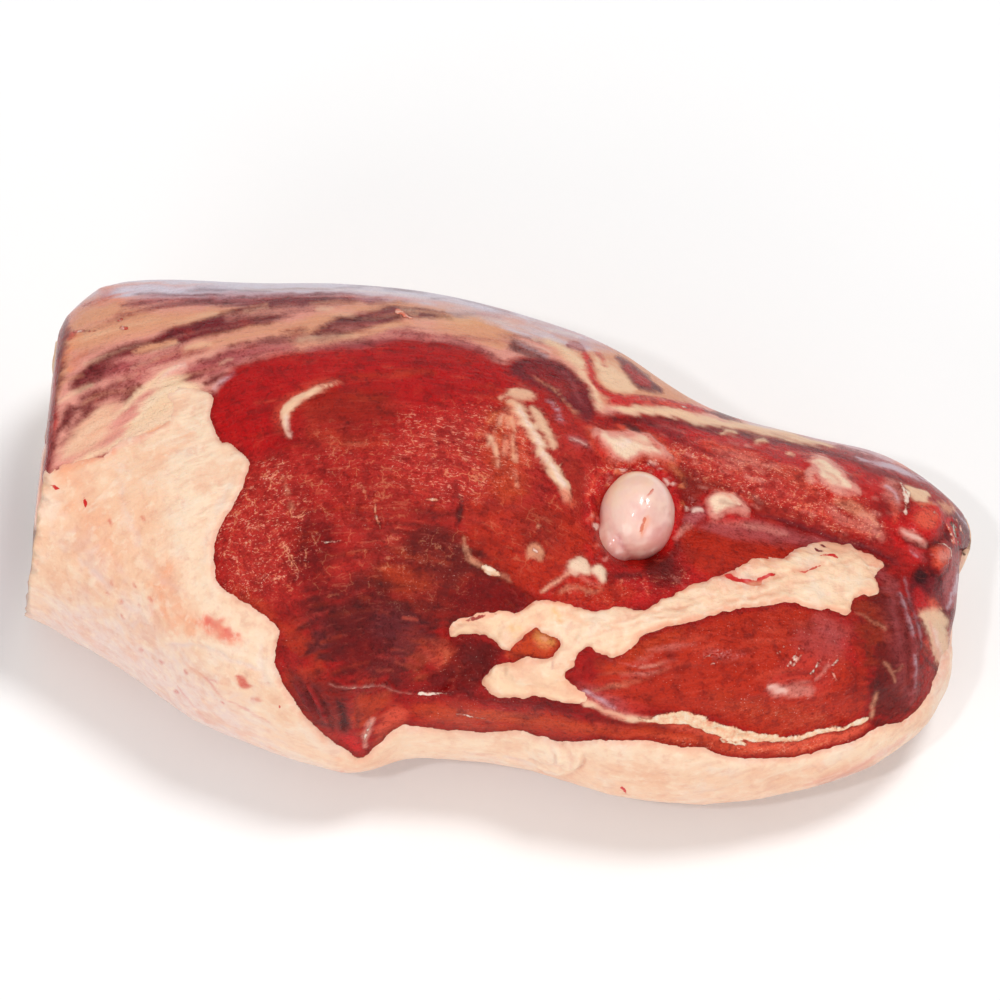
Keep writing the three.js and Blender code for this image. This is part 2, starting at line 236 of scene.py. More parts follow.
def inside(across, down, outline):
    """Which spots are inside a closed outline."""
    within = np.zeros(len(across), bool)
    for (x0, y0), (x1, y1) in zip(outline, outline[1:] + outline[:1]):
        if y0 == y1:
            continue
        crosses = (y0 > down) != (y1 > down)
        within ^= crosses & (across < (x1 - x0) * (down - y0) / (y1 - y0) + x0)
    return within


def depth_inside(across, down, outline):
    """Distance from spots to a closed outline, negative outside it."""
    away, _, _ = line_distance(across, down, outline + outline[:1])
    return np.where(inside(across, down, outline), away, -away)


def smooth(value, low, high):
    """Eased step from 0 at low to 1 at high."""
    t = np.clip((value - low) / (high - low), 0, 1)
    return t * t * (3 - 2 * t)


def rough_field(points, size, seed):
    """Smooth random values from -1 to 1 at points, with lumps of the given size."""
    scaled = points / size + seed * 17.31
    cell = np.floor(scaled).astype(np.int64)
    t = scaled - cell
    t = t * t * (3 - 2 * t)
    total = np.zeros(len(points))
    for corner in np.ndindex(2, 2, 2):
        spot = cell + corner
        key = (spot[:, 0] * 73856093) ^ (spot[:, 1] * 19349663) ^ (spot[:, 2] * 83492791)
        key = (key ^ (key >> 13)) * 1274126177 % 2147483647
        weight = np.prod(np.where(corner, t, 1 - t), axis=1)
        total += weight * ((key % 65536) / 32767.5 - 1)
    return total


# ------------------------------------------------------------------ mesh helpers


def points_of(obj):
    """A mesh's points as rows of x, y and z."""
    flat = np.empty(len(obj.data.vertices) * 3)
    obj.data.vertices.foreach_get("co", flat)
    return flat.reshape(-1, 3)


def normals_of(obj):
    """A mesh's smoothed outward directions, one for each point."""
    flat = np.empty(len(obj.data.vertices) * 3)
    obj.data.vertex_normals.foreach_get("vector", flat)
    return flat.reshape(-1, 3)


def move_points(obj, points):
    """Puts a mesh's points in new places."""
    obj.data.vertices.foreach_set("co", np.ascontiguousarray(points, np.float32).ravel())
    obj.data.update()


def only(obj):
    """Selects one object alone and makes it the active one."""
    bpy.ops.object.select_all(action="DESELECT")
    obj.select_set(True)
    bpy.context.view_layer.objects.active = obj


def applied(obj, kind, **settings):
    """Adds a modifier and applies it."""
    only(obj)
    modifier = obj.modifiers.new(kind.lower(), kind)
    for name, value in settings.items():
        setattr(modifier, name, value)
    bpy.ops.object.modifier_apply(modifier=modifier.name)


def select_points(obj, chosen):
    """Enters edit mode with just the chosen points selected."""
    only(obj)
    bpy.ops.object.mode_set(mode="EDIT")
    bpy.ops.mesh.select_mode(type="VERT")
    bpy.ops.mesh.select_all(action="DESELECT")
    bpy.ops.object.mode_set(mode="OBJECT")
    obj.data.vertices.foreach_set("select", np.asarray(chosen, bool))
    bpy.ops.object.mode_set(mode="EDIT")
    bpy.ops.mesh.select_mode(type="VERT")


def refine(obj, chosen):
    """Cuts the faces between the chosen points into quarters."""
    select_points(obj, chosen)
    bpy.ops.mesh.subdivide(number_cuts=1, smoothness=0)
    bpy.ops.object.mode_set(mode="OBJECT")
    applied(obj, "SMOOTH", factor=0.5, iterations=2)


MOST_TRIANGLES = 195_000


def thin_out(obj):
    """Leaves out points where a mesh is flattest, if it has too many triangles."""
    obj.data.calc_loop_triangles()
    triangles = len(obj.data.loop_triangles)
    if triangles > MOST_TRIANGLES:
        applied(obj, "DECIMATE", ratio=MOST_TRIANGLES / triangles)


def keep_piece_at(obj, chosen, seed_point):
    """Deletes the chosen points, then all that no longer hangs together with one point."""
    select_points(obj, chosen)
    bpy.ops.mesh.delete(type="VERT")
    bpy.ops.object.mode_set(mode="OBJECT")
    nearest = np.argmin(((points_of(obj) - seed_point) ** 2).sum(1))
    select_points(obj, np.arange(len(obj.data.vertices)) == nearest)
    bpy.ops.mesh.select_linked()
    bpy.ops.mesh.select_all(action="INVERT")
    bpy.ops.mesh.delete(type="VERT")
    bpy.ops.object.mode_set(mode="OBJECT")


def cad_copy(name, nodes, swell, voxel, rounds):
    """One closed skin round copies of CAD nodes, remeshed evenly and smoothed."""
    twins = []
    for node in nodes:
        twin = bpy.data.objects.new(name, frame["nodes"][node].data.copy())
        bpy.context.scene.collection.objects.link(twin)
        only(twin)
        bpy.ops.object.mode_set(mode="EDIT")
        bpy.ops.mesh.select_all(action="SELECT")
        bpy.ops.mesh.remove_doubles(threshold=0.01 * MM)
        bpy.ops.object.mode_set(mode="OBJECT")
        if swell:
            applied(twin, "DISPLACE", strength=swell, mid_level=0)
        twins.append(twin)
    for twin in twins:
        twin.select_set(True)
    bpy.ops.object.join()
    form = bpy.context.view_layer.objects.active
    applied(form, "REMESH", mode="VOXEL", voxel_size=voxel)
    applied(form, "SMOOTH", factor=0.5, iterations=rounds)
    form.data.materials.clear()
    form.name = name
    bpy.ops.object.shade_smooth()
    return form


def write_field(obj, name, values):
    """Keeps a number or a vector for each point of a mesh, for its material to read."""
    kind, slot = ("FLOAT", "value") if values.ndim == 1 else ("FLOAT_VECTOR", "vector")
    field = obj.data.attributes.new(name, kind, "POINT")
    field.data.foreach_set(slot, np.ascontiguousarray(values, np.float32).ravel())


def finish_piece(obj, material, slot, *nodes):
    """Gives a piece its material, its body and the nodes that it stands for."""
    obj.data.materials.append(material)
    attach(obj, BODY)
    if nodes:
        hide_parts(*nodes)
    return {"FINISHED"}


# ------------------------------------------------------------------ where things are on the leg

LEG_NODES = ["meat", "fat_cover", "seam_fat"]
SWELL = 0.25 * MM


class Leg:
    """The leg's far and near edge as seen on the ruled face, and the saw cut's place."""

    def __init__(self, points):
        columns, rows, depth = ruled(points)
        edges = np.linspace(columns.min(), columns.max(), 61)
        groups = [np.flatnonzero((columns >= a) & (columns <= b)) for a, b in zip(edges, edges[1:])]
        far = np.array([g[np.argmin(rows[g])] for g in groups])
        near = np.array([g[np.argmax(rows[g])] for g in groups])
        self.far = columns[far], rows[far], depth[far]
        self.near = columns[near], rows[near], depth[near]
        self.saw = (points @ SAW_NORMAL).max()

    def unrolled(self, points):
        """Columns and rows of points, with the rows running on down the leg's hidden sides, and
        how far (metres) the points lie behind the far edge."""
        columns, rows, depth = ruled(points)
        far_row, far_depth = (np.interp(columns, self.far[0], line) for line in self.far[1:])
        near_row, near_depth = (np.interp(columns, self.near[0], line) for line in self.near[1:])
        far_side = rows < (far_row + near_row) / 2
        behind_far = np.where(far_side, far_depth - depth, 0)
        behind_near = np.where(far_side, 0, near_depth - depth)
        beyond_far = far_row - np.hypot(rows - far_row, behind_far / SQUARE)
        beyond_near = near_row + np.hypot(rows - near_row, behind_near / SQUARE)
        rows = np.where(behind_far > 0, beyond_far, rows)
        rows = np.where(behind_near > 0, beyond_near, rows)
        return columns, rows, np.maximum(behind_far, 0)

    def wavy(self, points):
        """The unrolled columns and rows, shifted a little to and fro, so that what is drawn with
        straight stretches has wavy edges."""
        columns, rows, behind = self.unrolled(points)
        for size, amount, seed in ((9 * MM, 2.2, 1), (3.2 * MM, 1.2, 3), (1.3 * MM, 0.7, 5)):
            columns = columns + amount * rough_field(points, size, seed)
            rows = rows + amount * rough_field(points, size, seed + 1)
        return columns, rows, behind

    def fat_depth(self, points):
        """How far (metres) points are inside the fat cover's area, negative in the lean window."""
        columns, rows, behind = self.wavy(points)
        in_window = depth_inside(columns, rows, LEAN_WINDOW) * SQUARE
        rim = points[:, 2] - RIM_HEIGHT + RIM_FALL * points[:, 0]
        above_rim = np.where(behind > 0, rim + 3 * MM * rough_field(points, 16 * MM, 9), 1)
        return -np.minimum(in_window, above_rim)

    def seam_depth(self, points):
        """How far (metres) points are inside the seam fat's area, negative outside it."""
        columns, rows, _ = self.wavy(points)
        ragged = 1.4 * rough_field(points, 2.4 * MM, 51) + 0.8 * rough_field(points, 1.2 * MM, 52)
        return (depth_inside(columns, rows, SEAM) + ragged) * SQUARE

    def thin_edge(self, points):
        """Where the fat cover runs out thinly over the skins of the knee end, 0 to 1."""
        columns, rows, _ = self.unrolled(points)
        away, _, _ = line_distance(columns, rows, THIN_EDGE)
        return 1 - smooth(away, 5, 22)

    def sawn(self, points):
        """How far (metres) points are from the saw cut's plane."""
        return self.saw - points @ SAW_NORMAL


LEG = []


def leg():
    """The leg's edges and saw cut, measured once on its whole form."""
    if not LEG:
        form = cad_copy("leg_form", LEG_NODES, SWELL, 2.8 * MM, 4)
        LEG.append(Leg(points_of(form)))
        bpy.data.objects.remove(form)
    return LEG[0]


# The fibres of the big inner muscle and of the skins sweep round this spot.
SWEEP_CENTRE = (370, 700)
SWEEP_STRETCH = 1.5
SWEEP_RADIUS = 230
# The fibres in this area run to a spot beyond the rump end.
RAYS_CENTRE = (1180, 600)
RAYS_RADIUS = 450
RAYS_AREA = rounded(spots(
    "596,330 1200,330 1200,960 150,960 200,700 300,690 400,690 440,650 560,612 604,570 590,470 575,400"
), True)


def fibre_places(columns, rows, depth):
    """Places of points in mm, along the fibres, across them and in depth, for the sweeping
    fibres and for those that run to the rump end, and how much the second ones hold."""
    mm = SQUARE / MM
    dx, dy = (columns - SWEEP_CENTRE[0]) / SWEEP_STRETCH, rows - SWEEP_CENTRE[1]
    sweep = np.arctan2(dx, -dy) * SWEEP_RADIUS * mm, np.hypot(dx, dy) * mm, depth / MM
    dx, dy = RAYS_CENTRE[0] - columns, rows - RAYS_CENTRE[1]
    rays = np.hypot(dx, dy) * mm, np.arctan2(dy, dx) * RAYS_RADIUS * mm, depth / MM
    return np.stack(sweep, 1), np.stack(rays, 1), smooth(depth_inside(columns, rows, RAYS_AREA), -8, 8)


# ------------------------------------------------------------------ painting

# Layers that a mark can write instead of a colour: pale grain, wetness and fine strands. Grain and wetness
# also place painted glints.
LAYERS = ("grain", "wet", "strands")


class Mark:
    """Something drawn on the ruled face: a filled outline, or a line if it has a half width.

    paint is a colour's or a layer's name. half and soft, the width of the fading edge, are in
    squares, lift is in mm. rag is how much the fibres fray the edge, taper how thin the ends are.
    A full mark that fades over a short way is crisp: its material draws its edge sharply.
    """

    def __init__(self, paint, path, half=None, soft=3.0, share=1.0, lift=0.0, rag=0.45, taper=0.75):
        self.paint, self.half, self.soft, self.share = paint, half, soft, share
        self.lift, self.rag, self.taper = lift, rag, taper
        self.crisp = soft < 2.3 and share >= 0.7
        line = spots(path)
        self.line = rounded(line, half is None) if len(line) > 2 else line

    def box(self):
        """The lowest and highest column and row that the mark reaches."""
        reach = (self.half or 0) + self.soft
        line = np.array(self.line)
        return line.min(0) - reach, line.max(0) + reach

    def value(self, across, down):
        """0 outside the mark, 0.5 on its edge and 1 inside it."""
        if self.half is None:
            return np.clip(0.5 + depth_inside(across, down, self.line) / (2 * self.soft), 0, 1)
        away, along, _ = line_distance(across, down, self.line)
        half = self.half * (1 - self.taper * np.abs(2 * along - 1) ** 2.5)
        fade = smooth(along, 0, 0.08) * (1 - smooth(along, 0.92, 1)) if self.taper else 1
        return np.clip(0.5 + (half - away) / (2 * self.soft), 0, 1) * fade


class Ledge(Mark):
    """A step along a line: the surface on the line's left stands higher, fading over half."""

    def value(self, across, down):
        away, along, side = line_distance(across, down, self.line)
        ends = smooth(along, 0, 0.12) * (1 - smooth(along, 0.88, 1))
        return ends * np.where(side > 0, np.clip(1 - away / self.half, 0, 1) ** 1.5, 0)


class Painting:
    """The colour, the layers and the lift that marks have left on a mesh's points."""

    def __init__(self, points, ground, stretch):
        self.across, self.down, _ = leg().wavy(points)
        _, _, depth = ruled(points)
        self.sweep, self.rays, self.ray_share = fibre_places(self.across, self.down, depth)
        streaky = np.where(self.ray_share[:, None] > 0.5, self.rays, self.sweep) / (stretch, 1, 1)
        self.fray = 0.6 * rough_field(streaky, 1.5, 11) + 0.4 * rough_field(streaky, 3.4, 12)
        self.knobs = 1 + 0.5 * rough_field(points, 1.5 * MM, 61) + 0.4 * rough_field(points, 3.4 * MM, 62)
        group = bpy.context.scene.lamb_colours
        self.colours = {name: np.array(getattr(group, name)) for name in LambColours.__annotations__}
        self.paint = np.tile(self.colours[ground], (len(points), 1))
        self.top, self.cover = self.paint.copy(), np.zeros(len(points))
        self.layers = {name: np.zeros(len(points)) for name in LAYERS}
        self.lift = np.zeros(len(points))

    def draw(self, marks, blur=0.0):
        """Draws marks in their order, those that aren't crisp with edges wider by a blur."""
        for mark in marks:
            if blur and not mark.crisp:
                mark = copy.copy(mark)
                mark.soft += blur
            low, high = mark.box()
            near = (self.across > low[0]) & (self.across < high[0])
            near = np.flatnonzero(near & (self.down > low[1]) & (self.down < high[1]))
            if not len(near):
                continue
            value = mark.value(self.across[near], self.down[near])
            frayed = value + mark.rag * self.fray[near] * 4 * value * (1 - value)
            self.lift[near] += mark.lift * MM * smooth(value, 0, 1) * (self.knobs[near] if mark.crisp else 1)
            if mark.crisp and mark.paint in self.colours:
                self.cut(mark.paint, near, np.clip(frayed, 0, 1))
            else:
                self.lay(mark.paint, near, smooth(frayed, 0, 1) * mark.share)

    def lay(self, paint, near, share):
        """Covers points with a colour or a layer by a share."""
        if paint in self.layers:
            self.layers[paint][near] = np.maximum(self.layers[paint][near], share)
        elif paint:
            share = share[:, None]
            for coat in (self.paint, self.top):
                coat[near] = coat[near] * (1 - share) + self.colours[paint] * share

    def wash(self, paint, share):
        """Covers the whole mesh with a colour by a share for each point."""
        self.lay(paint, slice(None), share)

    def cut(self, paint, near, value):
        """Lays a colour over the others with a sharp edge, where its value passes a half."""
        wins = (value > 0.5) | (value > self.cover[near])
        self.top[near[wins]] = self.colours[paint]
        self.cover[near] = np.maximum(self.cover[near], value)

    def keep(self, obj):
        """Writes all of it to the mesh, for the material."""
        for name in ("paint", "top", "cover", "sweep", "rays", "ray_share"):
            write_field(obj, name, getattr(self, name))
        for name, values in self.layers.items():
            write_field(obj, name, values)


# Broad tones of the cut face, from the top left round to the rump.
TONES = [
    Mark("rosy", "212,395 300,350 480,360 600,420 700,500 600,560 470,620 280,630 210,560", soft=20,
         share=0.3),
    Mark("scarlet", "205,398 240,360 300,350 400,340 460,355 506,364 540,395 520,425 450,425 400,440 345,425 "
                    "310,395 297,420 300,450 255,462 205,440", soft=16),
    Mark("scarlet", "400,400 450,410 470,470 450,520 410,500 385,440", soft=22, share=0.5),
    Mark("olive", "302,408 320,392 350,382 385,384 402,400 400,425 340,426 310,424", soft=16, share=0.7),
    Mark("rust", "300,430 330,440 380,444 400,432", 7, 8, 0.35),
    Mark("rosy", "384,440 430,412 500,400 520,430 500,500 440,505 395,490", soft=18, share=0.55),
    Mark("rust", "495,400 512,430 530,470 520,505 490,510 480,440", soft=14, share=0.7),
    Mark("rosy", "235,470 280,452 300,480 290,560 240,590 220,560", soft=16, share=0.4),
    # Painted shade low on the big muscle.
    Mark("deep", "300,505 335,515 340,560 325,598 300,590 290,545", soft=15, share=0.85),
    Mark("rust", "222,582 232,594 260,612 290,630 330,660 290,690 284,660", 11, 12, 0.5, rag=1),
    Mark("olive", "345,470 420,500 465,520 470,560 400,560 350,520", soft=24, share=0.35),
    Mark("brown", "350,560 400,530 455,525 500,560 520,590 470,625 440,640 380,610", soft=24, share=0.8,
         rag=1),
    Mark("umber", "404,525 450,528 478,545 500,570 498,606 450,600 410,560", soft=20, share=0.7, rag=1),
    Mark("rust", "376,572 404,552 424,570 424,600 400,604", soft=16, share=0.5, rag=1),
    Mark("plum", "306,604 345,588 400,594 434,616 442,650 418,678 350,684 314,660", soft=24, share=0.9,
         rag=1),
    Mark("umber", "316,608 345,590 374,596 350,622 330,640", soft=16, share=0.6, rag=1),
    Mark("slate", "372,618 396,606 426,630 428,656 400,662", soft=16, share=0.55, rag=1),
    Mark("slate", "318,612 332,620 326,655 312,650", soft=10, share=0.4, rag=1),
    Mark("deep", "335,655 350,640 392,650 408,668 390,680 345,676", soft=14, share=0.6, rag=1),
    Mark("rust", "412,650 424,640 436,660 424,680 410,676", soft=10, share=0.45, rag=1),
    Mark("deep", "455,575 500,580 548,600 530,612 470,618 448,635", soft=7, share=0.95),
    Mark("brick", "470,490 500,515 545,500 580,520 600,560 560,590 520,590 490,566 466,550 464,505",
         soft=10, share=0.85),
    Mark("brown", "520,500 560,508 560,545 530,560 512,530", soft=12, share=0.5),
    Mark("rosy", "553,400 580,425 600,470 590,510 570,500 556,450", soft=8, share=0.3),
    Mark("olive", "564,450 590,470 592,510 572,520 560,480", soft=10, share=0.5),
    # Painted shade in the dark hollow by the seam fat's left end.
    Mark("deep", "450,640 470,633 495,642 506,652 490,668 480,684 470,697 440,690 425,680 445,660", soft=7),
    Mark("umber", "460,650 480,640 500,648 486,664 476,684 456,688 448,670", soft=8, share=0.6, rag=1),
    Mark("coral", "428,645 440,638 454,644 452,662 440,670 430,662", soft=6, share=0.5, lift=0.9),
    Mark("apricot", "436,648 446,650 444,664", 3, 5, 0.35),
    # The hollow between the ropes of the seam fat.
    Mark("rust", "507,644 526,626 548,627 564,640 556,653 538,660 510,660", soft=5, share=0.9, rag=0.9),
    Mark("amber", "534,632 548,634 554,643 542,650", soft=5, share=0.55, rag=0.9),
    Mark("umber", "508,650 528,657 548,659", 2.4, 3.4, 0.8, lift=-0.6),
    Mark("umber", "512,640 520,634 528,640", 2, 3.4, 0.6, lift=-0.5),
    Mark("coral", "532,640 544,644 552,650", 1.6, 3, 0.5, lift=0.5),
    Mark("rose", "540,636 548,640", 0.9, 2.4, 0.6),
    Mark("deep", "405,685 450,690 490,700 560,706 620,722 700,733", 5, 6, 0.9),
    Mark("brick", "410,700 450,702 500,708 560,716 590,725 580,742 540,735 480,732 415,726", soft=6,
         share=0.9),
    Mark("rust", "405,706 440,712 500,720 540,728", 7, 7, 0.7, rag=1),
    Mark("brown", "282,668 300,675 345,684 350,720 320,735 295,708", soft=7, share=0.8),
    Mark("slate", "292,676 310,682 334,705 330,730 306,714", soft=8, share=0.5, rag=1),
    # Vertical folds: the umber and blackish lines pressed into their creases are painted shade.
    Mark("maroon", "292,682 302,700 316,718", 2.2, 3.4, 0.8, lift=0.5),
    Mark("umber", "298,680 308,698 322,722", 1.8, 3, 0.9, lift=-0.8),
    Mark("crimson", "306,682 318,702 332,728", 2, 3.4, 0.45, lift=0.5),
    Mark("umber", "314,684 326,706 336,736", 2.2, 3, 0.95, lift=-0.8),
    Mark("plum", "334,696 342,700 350,720 352,735 341,734", soft=4, share=0.95),
    Mark("hollow_shade", "338,700 344,716 346,732", 1.8, 3, 0.6, lift=-0.9),
    Mark("rust", "352,690 385,690 398,700 372,720 360,735 350,710", soft=8, share=0.65, rag=1),
    Mark("umber", "354,696 360,712 358,730", 1.8, 3.4, 0.5, lift=-0.5),
    Mark("crimson", "344,738 352,734 362,742 362,757 352,752", soft=4, share=0.85),
    Mark("coral", "376,754 378,725 388,709 402,703 410,718 400,731 388,741", soft=6, share=0.65, rag=0.9),
    Mark("rose", "375,714 368,730 365,750", 2.8, 2.6, 0.9, lift=0.5),
    # Painted highlight along the strand.
    Mark("pearl", "372,720 367,732 365,744", 1, 1.8, 0.9, lift=0.3),
]

MUSCLES_BY_THE_BONE = [
    Mark("crimson", "542,592 580,566 640,566 700,560 720,574 690,588 660,605 600,612 560,602", soft=7,
         share=0.6),
    Mark("brick", "545,598 570,576 620,578 640,600 600,608 565,604", soft=7, share=0.8),
    Mark("deep", "640,556 665,552 690,566 680,588 655,596 640,580", soft=8, share=0.95),
    Mark("umber", "640,560 662,556 674,566 668,584 650,578", soft=6, share=0.7),
    Mark("brick", "676,530 720,522 760,530 800,545 790,560 745,566 715,578 690,570", soft=6, share=0.85),
    Mark("brown", "668,470 700,462 740,480 760,505 700,512 676,500", soft=12, share=0.85),
    Mark("crimson", "640,420 700,420 800,440 880,470 905,500 860,500 780,470 700,450 655,440", soft=10,
         share=0.7),
    Mark("maroon", "610,417 664,420 720,430 800,445 870,465 905,480", 3.5, 4, 0.9),
    Mark("rosy", "664,440 720,450 800,480 860,520 840,535 760,505 690,470", soft=13, share=0.85),
    Mark("coral", "690,446 740,456 790,474 850,508 880,530", 8, 9, 0.5, rag=1),
    Mark("rose", "706,452 740,462 770,474", 5, 6, 0.45, rag=1),
    Mark("rose", "820,503 850,520 878,540", 5, 6, 0.45, rag=1),
    Mark("olive", "700,480 780,500 830,525 900,565 870,552 780,520 710,510", soft=7, share=0.55),
    # Painted shadow in the crease where the far strip overhangs the seam fat.
    Mark("maroon", "744,510 774,518 804,526 839,539 866,546 885,557 905,572", 3.2, 3.5, 0.95, lift=-0.9),
    Mark("mauve", "700,521 745,518 800,531 840,545 800,547 740,540 700,530", soft=5, share=0.75),
    Mark("rose", "704,523 745,524 792,537", 3, 4, 0.5),
    Mark("crimson", "588,478 596,470 622,464 655,464 674,478 682,512 676,545 655,565 668,548 672,515 664,484 "
                    "640,470 610,474 597,492 594,520 588,530 582,505", soft=4, share=0.75, lift=0.5),
    Mark("coral", "586,500 592,485 600,474 620,466", 2.5, 3, 0.6),
    Mark("coral", "586,424 603,430 646,430 660,440 682,468 660,466 644,460 632,468 610,468 598,454 590,442",
         soft=5, share=0.7, rag=1),
    Mark("rose", "591,428 603,434 644,434 656,442 675,463 660,461 644,455 632,463 613,464 603,452 595,442",
         soft=3.6, share=0.9, lift=1.6, rag=1),
    Mark("fat_lit", "598,434 610,440 640,440 652,448 664,458 650,456 640,450 630,458 616,458 606,448",
         soft=3.4, share=0.95, lift=0.6, rag=1),
    # Painted highlight on the fat lump.
    Mark("pearl", "612,444 622,447 630,443", 2, 3, 0.9, lift=0.3, rag=1),
    Mark("crimson", "640,438 652,446 664,458", 1, 2.6, 0.5, lift=-0.6),
    # Painted shade in a ragged hole by the far edge.
    Mark("hollow_shade", "620,422 634,425 642,434 630,434", share=0.8),
    Mark("blood", "594,437 598,450 606,460", 2.5, 3, 0.8),
    Mark("crimson", "620,440 640,446 660,452", 1.4, 3, 0.5, lift=-0.5),
    Mark("crimson", "606,446 612,456 622,462", 1.4, 3, 0.5, lift=-0.5),
    Mark("apricot", "668,462 676,474 684,488", 2.6, 3.4, 0.5, lift=0.5, rag=1),
    Mark("grain", "586,470 600,462 660,460 672,470 600,480 594,520 586,520", soft=5),
    Mark("umber", "588,556 600,572 620,576 648,572 672,556 684,532", 4, 5, 0.75),
    Mark("crimson", "582,540 590,556 600,568", 3, 4, 0.6),
    # Scraps of fat under the ball, and the knobs right of it.
    Mark("fat_lit", "568,560 578,556 588,561 592,573 582,572 574,576 564,569", share=0.9, lift=1.3,
         rag=1),
    Mark("fat_lit", "590,566 600,562 608,570 604,582 597,576", share=0.9, lift=1.2, rag=1),
    Mark("tan", "556,592 572,586 590,590 606,586", 1.8, 3, 0.5, rag=1),
    Mark("rosy", "560,574 572,590 580,600", 1.4, 3, 0.5),
    Mark("coral", "640,572 646,588 648,602", 1, 3, 0.5),
    Mark("rose", "664,566 676,580 690,590", 0.9, 2.6, 0.5),
    Mark("deep", "608,576 614,590 616,602", 3, 4, 0.6, lift=-0.5),
    Mark("deep", "586,578 588,592 584,602", 2.4, 4, 0.5, lift=-0.4),
    Mark("grain", "550,596 580,574 640,570 700,566 700,580 650,600 590,606", soft=8, share=0.5),
    Mark("rose", "560,574 572,570 590,580 604,584", 1.4, 3, 0.5),
    Mark("crimson", "700,494 722,488 744,496 756,514 738,526 710,524 698,510", soft=5, share=0.6),
    Mark("rose", "704,504 709,495 720,492 735,497 752,512 744,517 730,512 722,515 714,520 706,513", soft=3.4,
         share=0.9, lift=1.6, rag=1),
    Mark("fat_lit", "708,503 713,497 722,496 734,501 744,511 730,507 720,510 713,514", share=0.95,
         lift=0.5, rag=1),
    Mark("crimson", "722,496 730,503 738,512", 1, 2.6, 0.5, lift=-0.5),
    Mark("mauve", "682,522 687,510 698,506 706,512 701,522 690,527", soft=3.4, share=0.9, lift=1.6, rag=1),
    # Painted highlight on the knob.
    Mark("pearl", "688,514 694,510 701,512", 2, 2.6, 0.9, lift=0.3, rag=1),
    Mark("rose", "672,540 684,528 694,526", 2.4, 3, 0.6, lift=0.4),
    Mark("wet", "580,460 690,455 700,560 620,580 575,540", soft=8),
]

CONNECTIVE = [
    Mark("coral", "500,416 512,404 526,430 530,470 514,480 500,450", soft=9, share=0.35, rag=1),
    *(
        Mark(paint, f"514,399 {(514 + x) / 2 - 2},{(399 + y) / 2} {x},{y}", half, 3, 0.5, 0.3, rag=1)
        for (x, y), paint, half in zip(
            spots("474,436 484,450 493,456 490,472 503,462 502,484 512,470 516,490 528,464"),
            ["apricot", "cream", "coral"] * 3,
            [1.1, 1.6, 0.8] * 3,
        )
    ),
    Mark("cream", "507,393 514,386 530,389 536,398 526,404 512,403", soft=5, share=0.7, lift=0.5, rag=1),
    Mark("cream", "515,402 522,418 530,430 542,451 554,471 565,489 568,505", 4.4, 3.5, 0.9,
         lift=0.9, rag=1, taper=0.35),
    Mark("pearl", "517,406 531,431 543,452 556,473 566,492", 1.3, 2.6, 0.8, rag=1),
    Mark("cream", "529,405 538,420 546,434 557,452", 4, 3.5, 0.8, lift=0.6),
    Mark("cream", "484,430 494,446 498,470", 2.4, 3, 0.6),
    Mark("cream", "500,400 508,395 514,390", 2, 3, 0.7),
    Mark("mauve", "545,401 552,399 566,415 565,422 556,420", soft=3.6, share=0.7, lift=0.5, rag=1),
    Mark("silver", "547,402 556,411 563,420", 1.4, 2.4, 0.75, rag=1),
    Mark("pearl", "551,400 560,410 566,418", 0.8, 1.9, 0.8),
    Mark("mauve", "566,437 580,438 591,446 588,452 570,446", soft=4, share=0.7, rag=1),
    Mark("pearl", "567,440 576,440 588,448", 0.8, 2.4, 0.6),
    Mark("tan", "528,546 538,544 546,552 540,562 532,556 526,560", soft=2.6, share=0.8, lift=0.7, rag=1),
    Mark("pearl", "532,549 540,553", 1, 1.8, 0.8),
    Mark("tan", "536,526 541,528", 1.6, 2.4, 0.7),
    Mark("coral", "560,488 568,497 572,510", 4, 4, 0.6),
    # Painted shade in a narrow slit.
    Mark("hollow_shade", "457,492 461,500 460,520 457,530", 2.6, 3, 0.8, lift=-0.7),
    Mark("tan", "374,494 376,515 382,531", 1.5, 2.2, 0.75),
    Mark("tan", "424,499 434,501 444,498", 1.6, 2.2, 0.8),
    Mark("rosy", "290,444 300,462 311,486", 1.4, 2.4, 0.7),
    Mark("tan", "282,466 288,490 297,517", 1.2, 2.2, 0.5),
    Mark("tan", "464,533 464,548 471,561 486,567 502,575 512,585", 1.8, 2.4, 0.75),
    Ledge(None, "462,528 463,548 471,563 486,569 500,577 515,587 545,602", 20, lift=1.6),
    Mark("cream", "480,563 492,566 503,573 498,577 484,571", soft=2, lift=0.6),
    Mark("cream", "540,592 556,581 572,571", 1.6, 2.4, 0.85),
    Ledge(None, "322,682 341,686 376,682 400,692 432,696 470,690", 16, lift=1.3),
    # Painted highlights: the rose and pearl lines along the ledge, the wet streaks below it and the short
    # line on the big muscle.
    Mark("rose", "327,682 341,686 360,683 376,682 398,692 416,693", 1.2, 2.4, 0.7),
    Mark("pearl", "340,685 352,684 366,682", 0.7, 1.7, 0.7),
    Mark("pearl", "417,691 428,694 436,692 450,695", 1.2, 1.8, 0.95),
    Mark("pearl", "452,716 468,717 488,721", 1, 1.8, 0.9),
    Mark("pearl", "322,542 334,541 345,540", 0.7, 1.6, 0.9),
    Mark("coral", "346,382 331,384 312,390 296,398 286,408 281,424 284,440", 7.5, 6, 0.45, taper=0.8),
    Mark("cream", "343,382 331,386 314,392 300,399 290,406 286,415 285,425 288,435 291,443", 3.6, 2.9, 0.9,
         lift=0.5, rag=0.8, taper=0.9),
    Mark("pearl", "287,414 287,428 291,440", 1.8, 2.6, 0.7),
]

